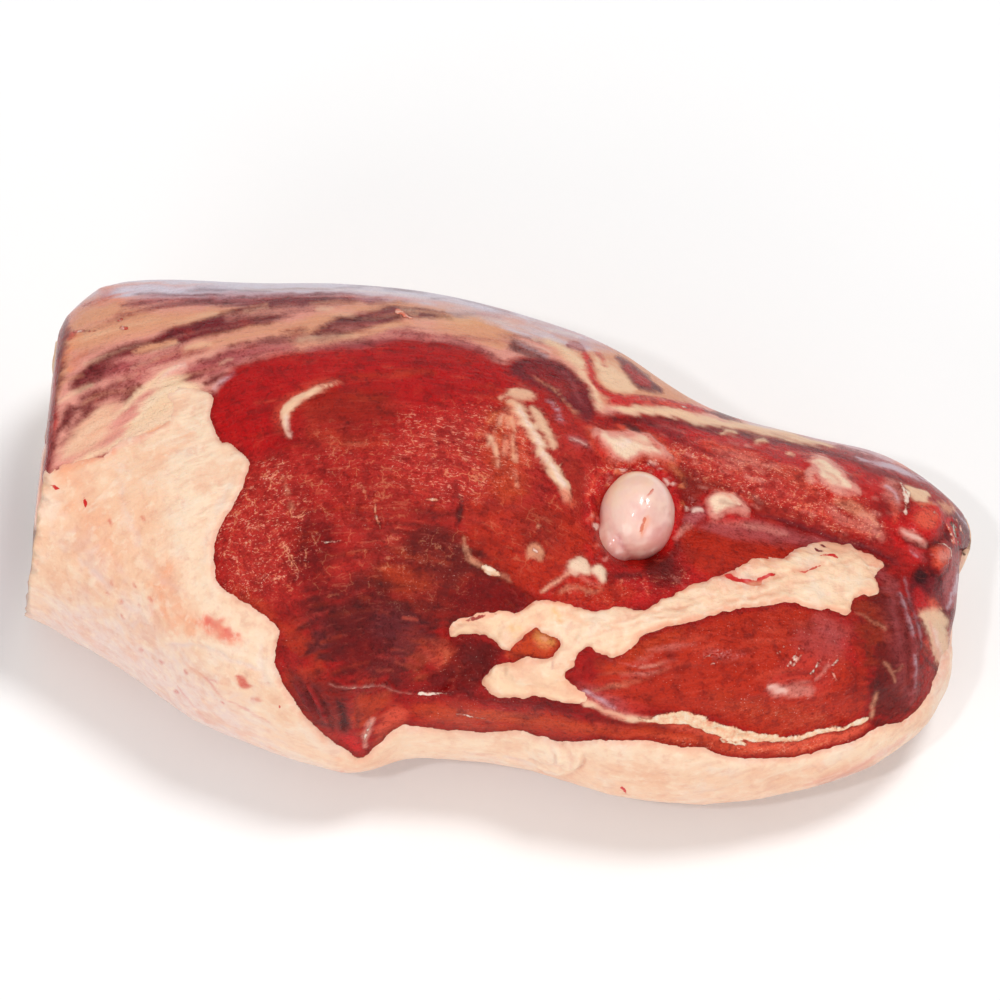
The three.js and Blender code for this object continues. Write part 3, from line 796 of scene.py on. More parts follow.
OVAL_MUSCLE = [
    Mark("brick", "575,690 610,668 640,640 700,620 780,606 840,618 862,650 870,700 850,722 790,735 740,728 "
                  "690,706 600,705", soft=5),
    Mark("rust", "590,665 620,662 650,642 690,628", 6, 8, 0.5),
    Mark("rust", "700,690 760,712 830,716", 9, 10, 0.4),
    Mark("mauve", "808,612 835,620 852,630 845,650 826,640", soft=9, share=0.5),
    Mark("umber", "848,604 880,575 892,572 908,600 920,650 925,690 905,722 878,726 866,700 868,650", soft=11,
         share=0.85, rag=1),
    Mark("rust", "852,600 872,590 884,620 874,660 862,650", soft=14, share=0.35, rag=1),
    Mark("mauve", "884,592 900,600 912,650 916,690 904,700 890,660", soft=12, share=0.3, rag=1),
    Mark("deep", "845,632 858,655 864,690 850,712 846,680", soft=8, share=0.5),
    Mark("crimson", "838,636 850,650 856,668", 5, 6, 0.5),
    Mark("mauve", "872,575 886,570 900,590 890,594", soft=6, share=0.5),
    Mark("mauve", "893,574 902,600 910,630 914,665 918,690 908,712", 3.4, 5, 0.5, lift=0.4),
    Mark("silver", "898,590 906,612 912,640", 0.8, 2.4, 0.5, lift=0.3),
    Mark("silver", "912,650 916,672 916,690", 0.8, 2.4, 0.5, lift=0.3),
    Mark("silver", "902,574 910,598 918,622 922,650", 0.8, 2.4, 0.4),
    Mark("mauve", "886,578 892,610 898,650", 1.4, 4, 0.35),
    Mark("umber", "900,600 908,640 908,690", 1.6, 4, 0.6, lift=-0.5),
    Mark("tan", "880,659 886,664 891,672 894,682", 0.9, 2.3, 0.7),
    Mark("tan", "891,671 898,668 902,664", 0.7, 2.3, 0.6),
    Mark("tan", "878,688 873,700 871,712 872,724", 1.3, 2.4, 0.8),
    Mark("tan", "852,612 864,615 874,622 886,630", 0.9, 2.4, 0.6),
    Mark("rosy", "780,655 800,650 826,655 830,675 815,694 785,698 764,690", soft=11, share=0.6),
    Mark("mauve", "790,630 815,625 838,640 836,665 812,660", soft=14, share=0.4),
    # Painted highlights: the pale glare patch and the pearl and rose strokes on the dome, to the hook at its
    # right.
    Mark("rose", "762,683 782,686 806,682 812,690 796,697 776,697", soft=5, share=0.6, rag=1),
    Mark("pearl", "764,685 776,689 788,693", 2.4, 3, 0.6),
    Mark("pearl", "776,654 781,648 785,643", 1.2, 2, 0.85),
    Mark("pearl", "786,669 793,657 799,647", 1.2, 2, 0.7),
    Mark("rose", "792,668 800,656 804,648", 1, 2.2, 0.7),
    Mark("pearl", "806,675 812,668 819,661", 1, 2, 0.7),
    Mark("rose", "812,680 822,670 828,664", 1, 2.2, 0.6),
    Mark("pearl", "829,667 834,661 838,656", 1, 2, 0.7),
    Mark("rose", "828,671 833,675 834,681", 1, 2, 0.7),
    Mark("pearl", "697,659 704,656 712,654", 0.8, 1.8, 0.7),
    Mark("pearl", "706,664 713,661", 0.7, 1.7, 0.7),
    Mark("rosy", "566,690 600,680 640,700 650,718 620,716 590,702", soft=8, share=0.6, rag=1),
    Mark("mauve", "572,682 590,690 612,700 630,712", 5, 5, 0.5, rag=1),
    Mark("silver", "580,688 600,698 618,708", 1.4, 3, 0.5),
    Mark("pearl", "576,696 584,692", 0.9, 1.8, 0.8),
    Mark("wet", "575,640 800,600 860,640 850,715 700,715", soft=12),
    Mark("coral", "620,720 700,735 740,748 800,752 850,741 872,728 862,724 800,742 740,735 690,722",
         share=0.75),
    Mark("deep", "560,716 620,722 680,728", 1.8, 2.4, 0.7),
    Mark("rosy", "590,722 620,727 640,733", 3.4, 4, 0.3),
    Mark("rose", "572,694 600,706 630,715 650,719", 3.4, 3.4, 0.6, lift=0.4, rag=1),
    Mark("cream", "582,700 604,709 628,716 646,719 660,719", 2.2, 2.6, 0.8, lift=0.4, rag=1, taper=0.3),
    Mark("crimson", "595,706 612,713 626,716", 1.6, 3, 0.5, rag=1),
    Mark("cream", "634,714 650,718 661,712 673,706 689,709 703,715 720,722 745,728 783,735 818,731 852,721 "
                  "868,718 868,722 840,730 812,736 783,741 752,739 730,741 712,735 690,726 674,723 661,725 "
                  "648,722", soft=2.2, lift=1.0, rag=0.8),
    Mark("apricot", "700,722 730,733 780,739 820,735", 1, 2.6, 0.4, lift=-0.3),
    Mark("cream", "716,738 726,741 738,741 748,744", 2, 2, 0.8, lift=0.4),
    Mark("cream", "726,737 736,744", 1.2, 1.9, 0.75, lift=0.3),
    Mark("coral", "812,742 850,732 870,723", 2, 3, 0.5),
]

RUMP_END = [
    Mark("maroon", "905,575 935,570 960,600 950,640 930,640 912,610", soft=5),
    Mark("crimson", "912,584 925,592 938,612 934,630 918,618", soft=4, share=0.8),
    Mark("coral", "930,596 942,606 938,622 928,612", soft=4, share=0.75),
    Mark("mauve", "950,560 966,552 962,590 948,615 942,600", soft=5, share=0.8),
    Mark("silver", "962,556 956,585 946,612", 1.4, 2, 0.6),
    Mark("maroon", "944,512 962,512 980,530 975,553 958,556 946,540", soft=4),
    Mark("crimson", "946,514 954,530 960,548", 4.4, 3.4, 0.9),
    # Painted shade in the groove of the striped hollow.
    Mark("hollow_shade", "950,518 957,532 961,546", 1, 2.2, 0.7, lift=-0.5),
    Mark("coral", "945,520 951,534 956,548", 1, 2.2, 0.8, lift=0.4),
    Mark("rose", "954,516 961,528 965,540", 0.8, 2, 0.7),
    Mark("silver", "950,506 964,520 974,536", 1.2, 2.4, 0.55),
    Mark("crimson", "880,512 905,520 930,545 915,568 895,548", soft=7, share=0.75),
    # Painted shade in the crevices between the lumps.
    Mark("hollow_shade", "900,536 908,545 928,545 944,538 948,526", 2.4, 3.4, 0.75, lift=-0.8),
    Mark("hollow_shade", "926,560 930,575 940,580 952,566", 2, 3.4, 0.7, lift=-0.7),
    Mark("crimson", "905,512 916,502 936,502 944,514 939,531 924,537 908,529", soft=4.5, share=0.9, lift=1.4),
    Mark("coral", "912,514 922,508 936,512 936,524 922,530 912,524", soft=5, share=0.8),
    Mark("apricot", "914,508 926,503 938,506", 2.6, 3.4, 0.6),
    # Painted glints on the red lump.
    Mark("pearl", "916,510 922,507", 0.9, 1.8, 0.9),
    Mark("pearl", "930,512 936,517", 0.8, 1.8, 0.8),
    Mark("coral", "930,546 942,544 950,553 944,567 933,570", soft=4, share=0.85, lift=1.3),
    Mark("rose", "934,552 942,550 946,558 938,564", soft=4, share=0.6),
    Mark("pearl", "931,545 943,543 951,553 948,562", 1, 2.2, 0.8),
    Mark("rose", "896,530 906,534 920,541 930,545", 3.4, 3.4, 0.75, lift=0.5),
    Mark("pearl", "899,530 910,535 922,541", 1.2, 2.4, 0.6),
    Mark("blood", "888,520 896,532 902,548", 2, 3.4, 0.7, lift=-0.5),
    # Painted shade in a pit.
    Mark("hollow_shade", "911,570 922,566 931,574 926,585 914,583", soft=4, share=0.95, lift=-0.9),
    Mark("mauve", "905,548 918,553 926,562", 3.4, 4, 0.6),
    Mark("silver", "908,552 918,558", 0.9, 2.2, 0.6),
    Mark("rose", "881,480 900,478 906,500 900,512 886,500", soft=5, share=0.5, rag=1),
    Mark("silver", "884,484 894,492 900,506", 1, 2.4, 0.6),
    Mark("coral", "890,500 896,512 894,526", 2, 3.4, 0.6),
    Mark("pearl", "900,482 904,494 905,506 902,520", 1.6, 2, 0.9, lift=0.5),
    Mark("pearl", "906,488 908,500 907,512", 0.9, 2, 0.7),
    Mark("cream", "902,485 918,489 930,494 926,503 910,500", share=0.9, lift=0.4),
    Mark("tan", "935,498 950,503 958,511 945,512", share=0.8),
    Mark("rose", "805,458 822,455 839,467 859,489 861,496 844,494 830,491 818,480 810,484 806,476 811,468",
         soft=3.4, share=0.9, lift=0.8, rag=1),
    Mark("fat_lit", "811,461 822,460 836,471 852,489 842,489 830,484 818,473", share=0.95, lift=0.3,
         rag=1),
    Mark("crimson", "814,462 826,474 842,488", 0.9, 2.6, 0.5, lift=-0.3),
    Mark("blood", "813,474 817,487 828,496 842,501", 3, 3, 0.75),
    Mark("cream", "752,440 759,439 766,442", 2.4, 2.6, 0.8, lift=0.5),
    Mark("cream", "719,434 728,432 737,436", 1.8, 2.6, 0.8, lift=0.3),
    Mark("cream", "785,455 791,453 796,456", 1.8, 2.6, 0.7),
    Mark("tan", "832,499 850,508 868,520", 3, 4, 0.6),
    Mark("tan", "846,500 862,510 880,528", 2, 3, 0.6),
    Mark("rose", "858,512 872,524 884,544", 4, 5, 0.45),
    Mark("grain", "665,436 720,446 840,480 895,530 870,548 760,505 690,480", soft=8),
    Mark("wet", "640,420 900,470 960,560 900,570 700,500", soft=12),
    Mark("cream", "918,612 930,606 946,612 952,640 956,670 946,676 936,650 926,632", soft=4, share=0.85),
    Mark("rose", "928,618 938,640 946,664", 3, 3, 0.6),
    Mark("coral", "924,640 928,648 930,656", 2.6, 3, 0.75),
    Mark("umber", "920,650 930,660 942,672", 2.6, 2.4, 0.85),
    Mark("umber", "916,636 924,646 934,656", 2, 2.4, 0.7),
    Mark("pearl", "932,622 942,645 950,668", 1.4, 2.8, 0.7),
]

GRAIN = [
    Mark("grain", "222,470 290,448 312,500 320,560 270,600 222,590 214,560", soft=12),
    Mark("grain", "384,425 440,400 520,400 540,450 500,500 430,505 390,480", soft=14),
    Mark("grain", "300,430 390,430 400,520 330,540 300,500", soft=18, share=0.4),
    Mark("grain", "360,520 480,520 480,610 380,610", soft=20, share=0.3),
    Mark("grain", "690,700 830,700 860,730 760,725", soft=12, share=0.35),
    Mark("grain", "620,735 720,745 860,738 850,748 740,755", soft=5, share=0.8),
    Mark("strands", "225,460 300,440 480,420 520,430 500,520 330,620 230,590", soft=20, share=0.55),
    Mark("strands", "470,400 560,430 580,520 520,590 470,500", soft=14, share=0.6),
    Mark("wet", "430,640 500,640 520,690 560,720 440,730 400,700", soft=9),
    Mark("wet", "225,580 260,604 300,640 290,690 278,660", soft=5, share=0.8),
    Mark("rust", "450,713 520,721 600,729 660,734 740,749 840,749", 7, 7, 0.75),
    Mark("coral", "600,733 680,738 750,752 820,753", 2, 4, 0.4),
]

# Skins and streaks over the knee end and along the top. Later marks lie over earlier ones.
MEMBRANES = [
    Mark("rose", "-60,500 45,482 60,467 105,459 140,436 165,426 176,414 165,394 190,388 212,394 222,380 "
                 "240,362 300,351 400,334 440,339 470,347 500,364 520,359 546,358 571,370 590,390 595,412 "
                 "604,416 640,411 700,421 760,429 840,445 905,476 1060,470 1060,-400 -60,-400"),
    Mark("tan", "60,352 66,330 84,304 118,304 180,312 260,303 230,318 130,336 88,354", soft=6),
    Mark("tan", "300,352 375,331 420,320 465,328 506,346 530,335 562,358 586,376 600,410 616,400 700,415 "
                "700,340 560,300 420,300 330,310 280,335", soft=8),
    Mark("tan", "-60,264 100,262 300,262 500,268 700,280 1060,400 1060,-400 -60,-400", soft=16, share=0.75),
    # Silver skin over the far top; along the far edge its white is partly a painted sheen.
    Mark("silver", "95,293 150,297 200,300 260,301 300,299 340,297 380,297 420,303 460,309 505,322 540,340 "
                   "580,345 640,350 640,300 500,278 300,262 100,262 60,290", soft=8),
    Mark("mauve", "112,306 150,302 190,301 250,299 340,297 400,299", 4.6, 4, 0.95),
    Mark("maroon", "150,305 200,303 260,301 330,298", 2.2, 3, 0.7),
    Mark("slate", "116,306 150,306 200,304 240,302", 2.4, 3, 0.5),
    Mark("maroon", "196,326 225,316 262,309 300,304 345,301 366,300", 6.5, 3.5, 0.95),
    Mark("maroon", "72,392 84,376 98,362 125,350 160,340 192,328 225,320 285,315 300,312", 7, 4),
    Mark("maroon", "110,356 150,348 178,344 192,336 230,327 262,322 285,320", 5, 3.5),
    Mark("tan", "131,354 148,347 165,344 179,343", 4, 2.6, 0.95),
    Mark("tan", "106,346 140,334 180,322 240,307", 2.6, 3, 0.8),
    Mark("mauve", "96,376 112,363 140,356 175,352 198,342 190,358 150,366 112,376", soft=5),
    Mark("rose", "120,362 150,355 182,350", 2, 3, 0.6),
    Mark("tan", "178,362 190,350 210,342 240,336 270,330 310,324", 6, 4.5, 0.9),
    Mark("cream", "184,350 196,345 212,342", 2, 2.4, 0.7),
    Mark("maroon", "246,348 268,343 290,341 316,338", 3.4, 3, 0.9),
    Mark("mauve", "182,370 205,358 240,348 290,345 300,350 250,358 228,372 205,378", soft=4, share=0.95),
    Mark("maroon", "196,362 215,357 236,352", 2.2, 3, 0.65),
    Mark("tan", "262,337 300,328 330,316 352,309 400,304 428,307", 4.2, 3, 0.95),
    Mark("maroon", "310,338 322,325 355,313 384,307 404,309 446,313 452,319 404,321 375,327 343,340 318,341",
         soft=2.6),
    Mark("mauve", "340,334 362,326 394,321", 1.6, 2.4, 0.65),
    Mark("slate", "400,311 430,313 452,318", 3, 3, 0.7),
    Mark("tan", "322,347 350,339 375,331 404,323 420,321", 4.2, 3),
    Mark("amber", "430,322 465,328 492,340 505,352", 9, 6, 0.35),
    Mark("tan", "424,322 462,327 492,338 510,352", 7, 5, 0.7),
    Mark("mauve", "296,353 340,346 375,340 405,333 425,334 450,341 480,350 508,364", 5, 3, 0.95),
    Mark("rose", "330,346 375,338 410,331 440,338 470,346", 1.6, 2.4, 0.7),
    Mark("maroon", "320,350 370,342 400,340", 1.6, 2.4, 0.6),
    Mark("coral", "394,311 403,317 417,321", 2.6, 2.2, 0.9, lift=0.6),
    # Knee end.
    Mark("fat_warm", "58,460 66,432 86,414 112,400 122,404 116,420 104,444 88,458", soft=8, share=0.8),
    Mark("fat_lit", "60,458 84,436 110,412", 5, 6, 0.5, rag=1),
    Mark("fat_lit", "86,452 100,432 118,414", 3, 5, 0.6, rag=1),
    Mark("mauve", "62,446 78,426 98,406", 1.4, 3, 0.7, rag=1),
    Mark("mauve", "96,404 112,386 132,370 152,366 140,384 122,400", soft=7, share=0.7),
    Mark("maroon", "71,389 84,372 104,362 112,368 98,384 84,394", soft=4, share=0.9),
    Mark("maroon", "66,436 80,414 96,400 108,390", 7, 5, 0.85),
    Mark("maroon", "121,404 130,394 144,383", 5, 2.6, 0.95),
    Mark("maroon", "56,440 64,420 74,402", 4, 3.5, 0.9),
    Mark("rose", "60,450 72,425 84,408", 1.6, 2.6, 0.8),
    Mark("rose", "52,446 60,420 70,398", 1.4, 2.4, 0.8),
    Mark("maroon", "169,390 180,382 192,377 207,373", 4.4, 2.8, 0.95),
    Mark("maroon", "201,384 214,378 230,371", 3.4, 2.6, 0.95),
    Mark("silver", "210,389 222,381 238,370", 1, 2.6, 0.6),
    Mark("mauve", "196,393 210,388 218,394 210,398", soft=4, share=0.6),
    Mark("pearl", "160,386 164,376 176,368 190,364", 2.2, 2.6, 0.7, lift=0.4),
    Mark("tan", "48,404 56,384 64,366 72,352", 7, 5, 0.95),
    Mark("apricot", "60,366 66,352 72,342 84,334", 5, 5, 0.65),
    Mark("apricot", "66,372 76,360 90,350", 3.4, 4, 0.5),
    Mark("apricot", "82,302 100,300 130,302", 2, 3, 0.6),
    Mark("crimson", "40,402 50,400 58,412 57,436 52,458 46,476 36,480", soft=4, share=0.85),
    Mark("rose", "52,414 54,440 50,464", 1.3, 2.4, 0.8),
    Mark("deep", "69,327 70,336 64,346 58,364 52,378 54,360 62,338", soft=2.4, share=0.95),
    Mark("blood", "70,332 72,338 66,344", 2, 2.4, 0.8),
    Mark("silver", "98,294 82,300 70,308 62,322 56,342", 2.6, 2.4, 0.9),
    Mark("mauve", "70,333 84,332 100,332", 1, 2, 0.7),
    Mark("blood", "116,323 126,319", 1.6, 1.8, 0.9),
    Mark("blood", "119,328 130,330", 1.6, 1.8, 0.9),
    Mark("slate", "66,312 60,332 52,356 45,392 40,430 38,470", 3.2, 3, 0.9, taper=0.4),
    Mark("plum", "63,310 56,336 48,362 40,400 36,450", 2, 2.6, 0.8, taper=0.4),
    # Flap of membrane on the far edge.
    Mark("rose", "97,290 104,287 114,285 145,284 175,284 205,285 232,287 200,290 160,291 130,292 104,294",
         soft=2.4, lift=0.9),
    Mark("apricot", "102,290 120,288 150,287 190,287 220,288", 2, 3, 0.6),
    # The silver lines along the far edge are silver skin with a painted sheen.
    Mark("silver", "104,294 140,294 180,293 230,289 290,288", 2, 3, 0.8),
    Mark("slate", "230,297 290,294 350,294", 1.4, 2.4, 0.5),
    Mark("tan", "400,296 440,300 480,308 520,322 560,336", 4, 4, 0.55),
    Mark("silver", "440,308 475,314 505,324 535,338", 3, 3.6, 0.6),
]

# Where the fat cover runs out over the skins, and what lies over their streaks.
FAT_TONGUE = [
    # Silver band along the far edge: silver skin with its glancing sheen painted in; the pearl line on it is
    # a painted sheen.
    Mark("silver", "96,292 180,291 260,286 330,284 400,290 460,300 520,316", 7, 6, 0.85, taper=0.3),
    Mark("mauve", "120,298 200,296 280,293 360,294 430,302", 1.6, 4, 0.5),
    Mark("pearl", "230,289 300,287 380,291 440,300", 1.0, 3, 0.5),
    *(
        Mark("slate", f"{x},{y} {x + 45},{y - 1} {x + 100},{y + drop}", 0.7, 2.4, 0.5)
        for (x, y), drop in zip(
            spots("130,296 180,291 240,288 300,294 330,287 380,290 420,299"), [0, 0, 1, 3, 6, 12, 16],
        )
    ),
    Mark("cream", "70,470 96,452 118,438 128,420 142,402 158,384 172,374 186,378 200,384 206,396 178,412 "
                  "172,430 140,444", soft=7, rag=1),
    Mark("cream", "120,412 136,396 152,382 168,370 184,366", 3, 3.5, 0.9, rag=1),
    Mark("cream", "104,430 122,408 140,392", 2.4, 3.5, 0.7, rag=1),
    Mark("fat_lit", "132,424 150,404 168,388 190,388", 6, 7, 0.7, rag=1),
    Mark("fat", "108,458 128,440 150,430 172,418 184,404", 10, 6),
    Mark("rose", "64,462 84,452 100,440", 3, 4, 0.5, rag=1),
    Mark("apricot", "140,437 156,430 171,424", 1.2, 2.6, 0.8),
    Mark("maroon", "102,398 116,384 132,374", 1.6, 3, 0.6),
]

TOP_MUSCLE = [
    Mark("slate", "508,338 530,344 552,358 530,360 512,352", soft=4, share=0.8),
    Mark("maroon", "511,364 522,359 546,357 571,370 590,390 595,406 593,422 586,425 573,409 554,398 538,388 "
                   "522,382 508,372"),
    Mark("scarlet", "520,366 545,370 565,388", 6, 7, 0.3),
    Mark("mauve", "550,362 570,380 586,408", 1.2, 2.4, 0.6),
    Mark("tan", "530,374 552,390 574,410 582,424", 1, 2, 0.65),
    Mark("silver", "514,342 530,348 548,357", 0.9, 2.6, 0.5),
    Mark("pearl", "520,340 536,346 552,354", 0.6, 2.2, 0.5),
    Mark("rosy", "524,372 548,382 572,400", 2, 5, 0.4),
    Mark("deep", "530,362 556,376 580,398", 1.6, 4, 0.5),
    Mark("cream", "540,338 562,350 580,366 594,388 602,414", 5, 4, 0.85, lift=0.4),
    Mark("mauve", "566,344 578,346 588,352", 3.4, 3, 0.7),
    Mark("crimson", "584,348 587,365 595,385 607,397 626,398", 4.4, 3, 0.95, taper=0.5),
    Mark("cream", "598,352 606,362 624,372 640,394 610,392 598,376 593,360", soft=3.4, share=0.85),
    Mark("crimson", "596,350 602,358 606,368", 2.4, 3, 0.7),
    Mark("maroon", "614,355 630,362 650,378 664,392 650,392 636,386 622,370", share=0.95),
    Mark("crimson", "622,364 638,378 652,388", 3, 3.4, 0.6),
    Mark("crimson", "600,398 644,396 677,400 712,412 696,417 660,412 616,408", share=0.95, lift=0.6),
    Mark("coral", "640,403 668,404 692,411", 1.6, 2.6, 0.6),
    Mark("rose", "630,402 650,400 668,402", 0.8, 2.2, 0.6),
    Mark("pearl", "676,405 686,408", 0.8, 1.8, 0.8),
    Mark("deep", "610,407 640,409 676,411", 1.4, 2.6, 0.6, lift=-0.4),
    # Painted shade: a blackish spot at the far edge.
    Mark("hollow_shade", "712,412 722,410 738,420 726,420", soft=2.4, share=0.8),
    Mark("maroon", "700,412 725,415 745,424", 2.4, 2.6, 0.8),
    Mark("cream", "600,408 636,410 671,413 705,422 758,429 805,440 842,450", 4.2, 2.8, 0.9, lift=0.3,
         taper=0.6),
    Mark("silver", "738,420 790,430 850,444 905,466", 4, 4, 0.75),
    Mark("mauve", "830,446 868,458 905,474 930,486", 5.5, 4.5, 0.85),
    Mark("slate", "858,466 884,474 910,484", 2.4, 3, 0.6),
    Mark("silver", "850,456 890,466 930,482 950,496", 2, 2.8, 0.7),
    # Painted shade in the ragged hole along the far edge: the dark red band and the blackish line in it.
    Mark("deep", "602,417 622,421 646,422 664,428", 3, 3.4, 0.8, rag=1),
    Mark("hollow_shade", "612,418 624,420 638,422", 1.4, 3, 0.6, lift=-0.5, rag=1),
    Mark("rose", "650,424 668,428 690,434", 1.4, 3, 0.5, rag=1),
    Mark("maroon", "640,420 664,424 690,436 676,440 650,430", soft=4, share=0.7),
]


# Areas of streaks. Those of the skins start in a box, given by its low and its high corner.
SKIN_BOX = (45, 302), (590, 455)
LEAN_AREA = spots("230,420 260,365 340,352 440,350 520,372 570,410 590,560 540,600 470,640 440,690 330,700 "
                  "290,690 250,600 225,560")
STRIP_AREA = spots("645,424 720,434 800,448 880,478 905,505 890,560 850,545 780,520 700,505 668,460")
OVAL_AREA = spots("580,690 610,668 650,640 700,622 780,608 840,622 862,650 866,700 850,716 790,728 700,700 "
                  "620,706")
FAN_AREA = spots("570,690 600,665 650,640 700,632 700,650 650,690 610,705")
STREAK_SOFT = 2.6
THINNEST_STREAK = 0.6
# Streaks keep this far from the edge of their area.
STREAK_MARGIN = 3


def streaks_in(area, count, seed, paints, widest, run, share, lift=0.0, box=None):
    """Thin streaks along the fibres inside an area, at random but always alike. Their stretches'
    length, run, and their share are between two numbers, their half width is up to widest."""
    random = np.random.default_rng(seed)
    low, high = box or (np.min(area, 0), np.max(area, 0))
    marks = []
    while len(marks) < count:
        column, row = random.uniform(low, high)
        stretch, path = random.uniform(*run), []
        rays = depth_inside(np.array([column]), np.array([row]), RAYS_AREA)[0] > 0
        for _ in range(4):
            turn = math.atan2((column - SWEEP_CENTRE[0]) / SWEEP_STRETCH, SWEEP_CENTRE[1] - row)
            if rays:
                turn = math.atan2(RAYS_CENTRE[1] - row, RAYS_CENTRE[0] - column)
            path.append((round(column, 1), round(row, 1)))
            column += stretch * math.cos(turn)
            row += stretch * math.sin(turn) / (1 if rays else SWEEP_STRETCH)
        across, down = np.array(path).T
        if depth_inside(across, down, area).min() > STREAK_MARGIN:
            line = " ".join(f"{x},{y}" for x, y in path)
            paint = str(random.choice(paints.split()))
            half = random.uniform(THINNEST_STREAK, widest)
            marks.append(Mark(paint, line, half, STREAK_SOFT, random.uniform(*share), lift))
    return marks


def back_streaks():
    """Streaks of skin and lean round the hidden far side, at random but always alike."""
    random = np.random.default_rng(7)
    marks = []
    for row in range(-190, 262, 9):
        for start in range(-20, 980, 130):
            column = start + random.uniform(0, 110)
            run = random.uniform(60, 190)
            rise = random.uniform(-0.09, 0.09) + (column - 500) * 0.0003
            at = row + (abs(column - 330) * 0.22 if column > 330 else 0) + random.uniform(-6, 6)
            paint = str(random.choice("maroon mauve tan silver tan rose rosy tan".split()))
            climb = rise * run
            path = f"{column},{at} {column + run / 2},{at + climb + 3} {column + run},{at + climb * 2}"
            marks.append(Mark(paint, path, random.uniform(1.5, 7.5), 5, random.uniform(0.4, 0.9)))
    return marks


def froth():
    """Wet scraps of torn tissue over the top and left of the bone's ball, always alike."""
    random = np.random.default_rng(21)
    marks = []
    for _ in range(54):
        turn, out = math.radians(random.uniform(5, 235)), random.uniform(1, 11)
        column = BALL[0] + (BALL_RADIUS + out) * math.cos(turn)
        row = BALL[1] - (BALL_HEIGHT + out) * math.sin(turn)
        across, down = random.uniform(-4, 4, 2)
        path = f"{column - across},{row - down} {column + across},{row + down}"
        paint = str(random.choice("rose coral crimson apricot pearl deep".split()))
        half = random.uniform(THINNEST_STREAK, 2.6)
        marks.append(Mark(paint, path, half, STREAK_SOFT, random.uniform(0.4, 0.9), 0.5, rag=1))
    return marks


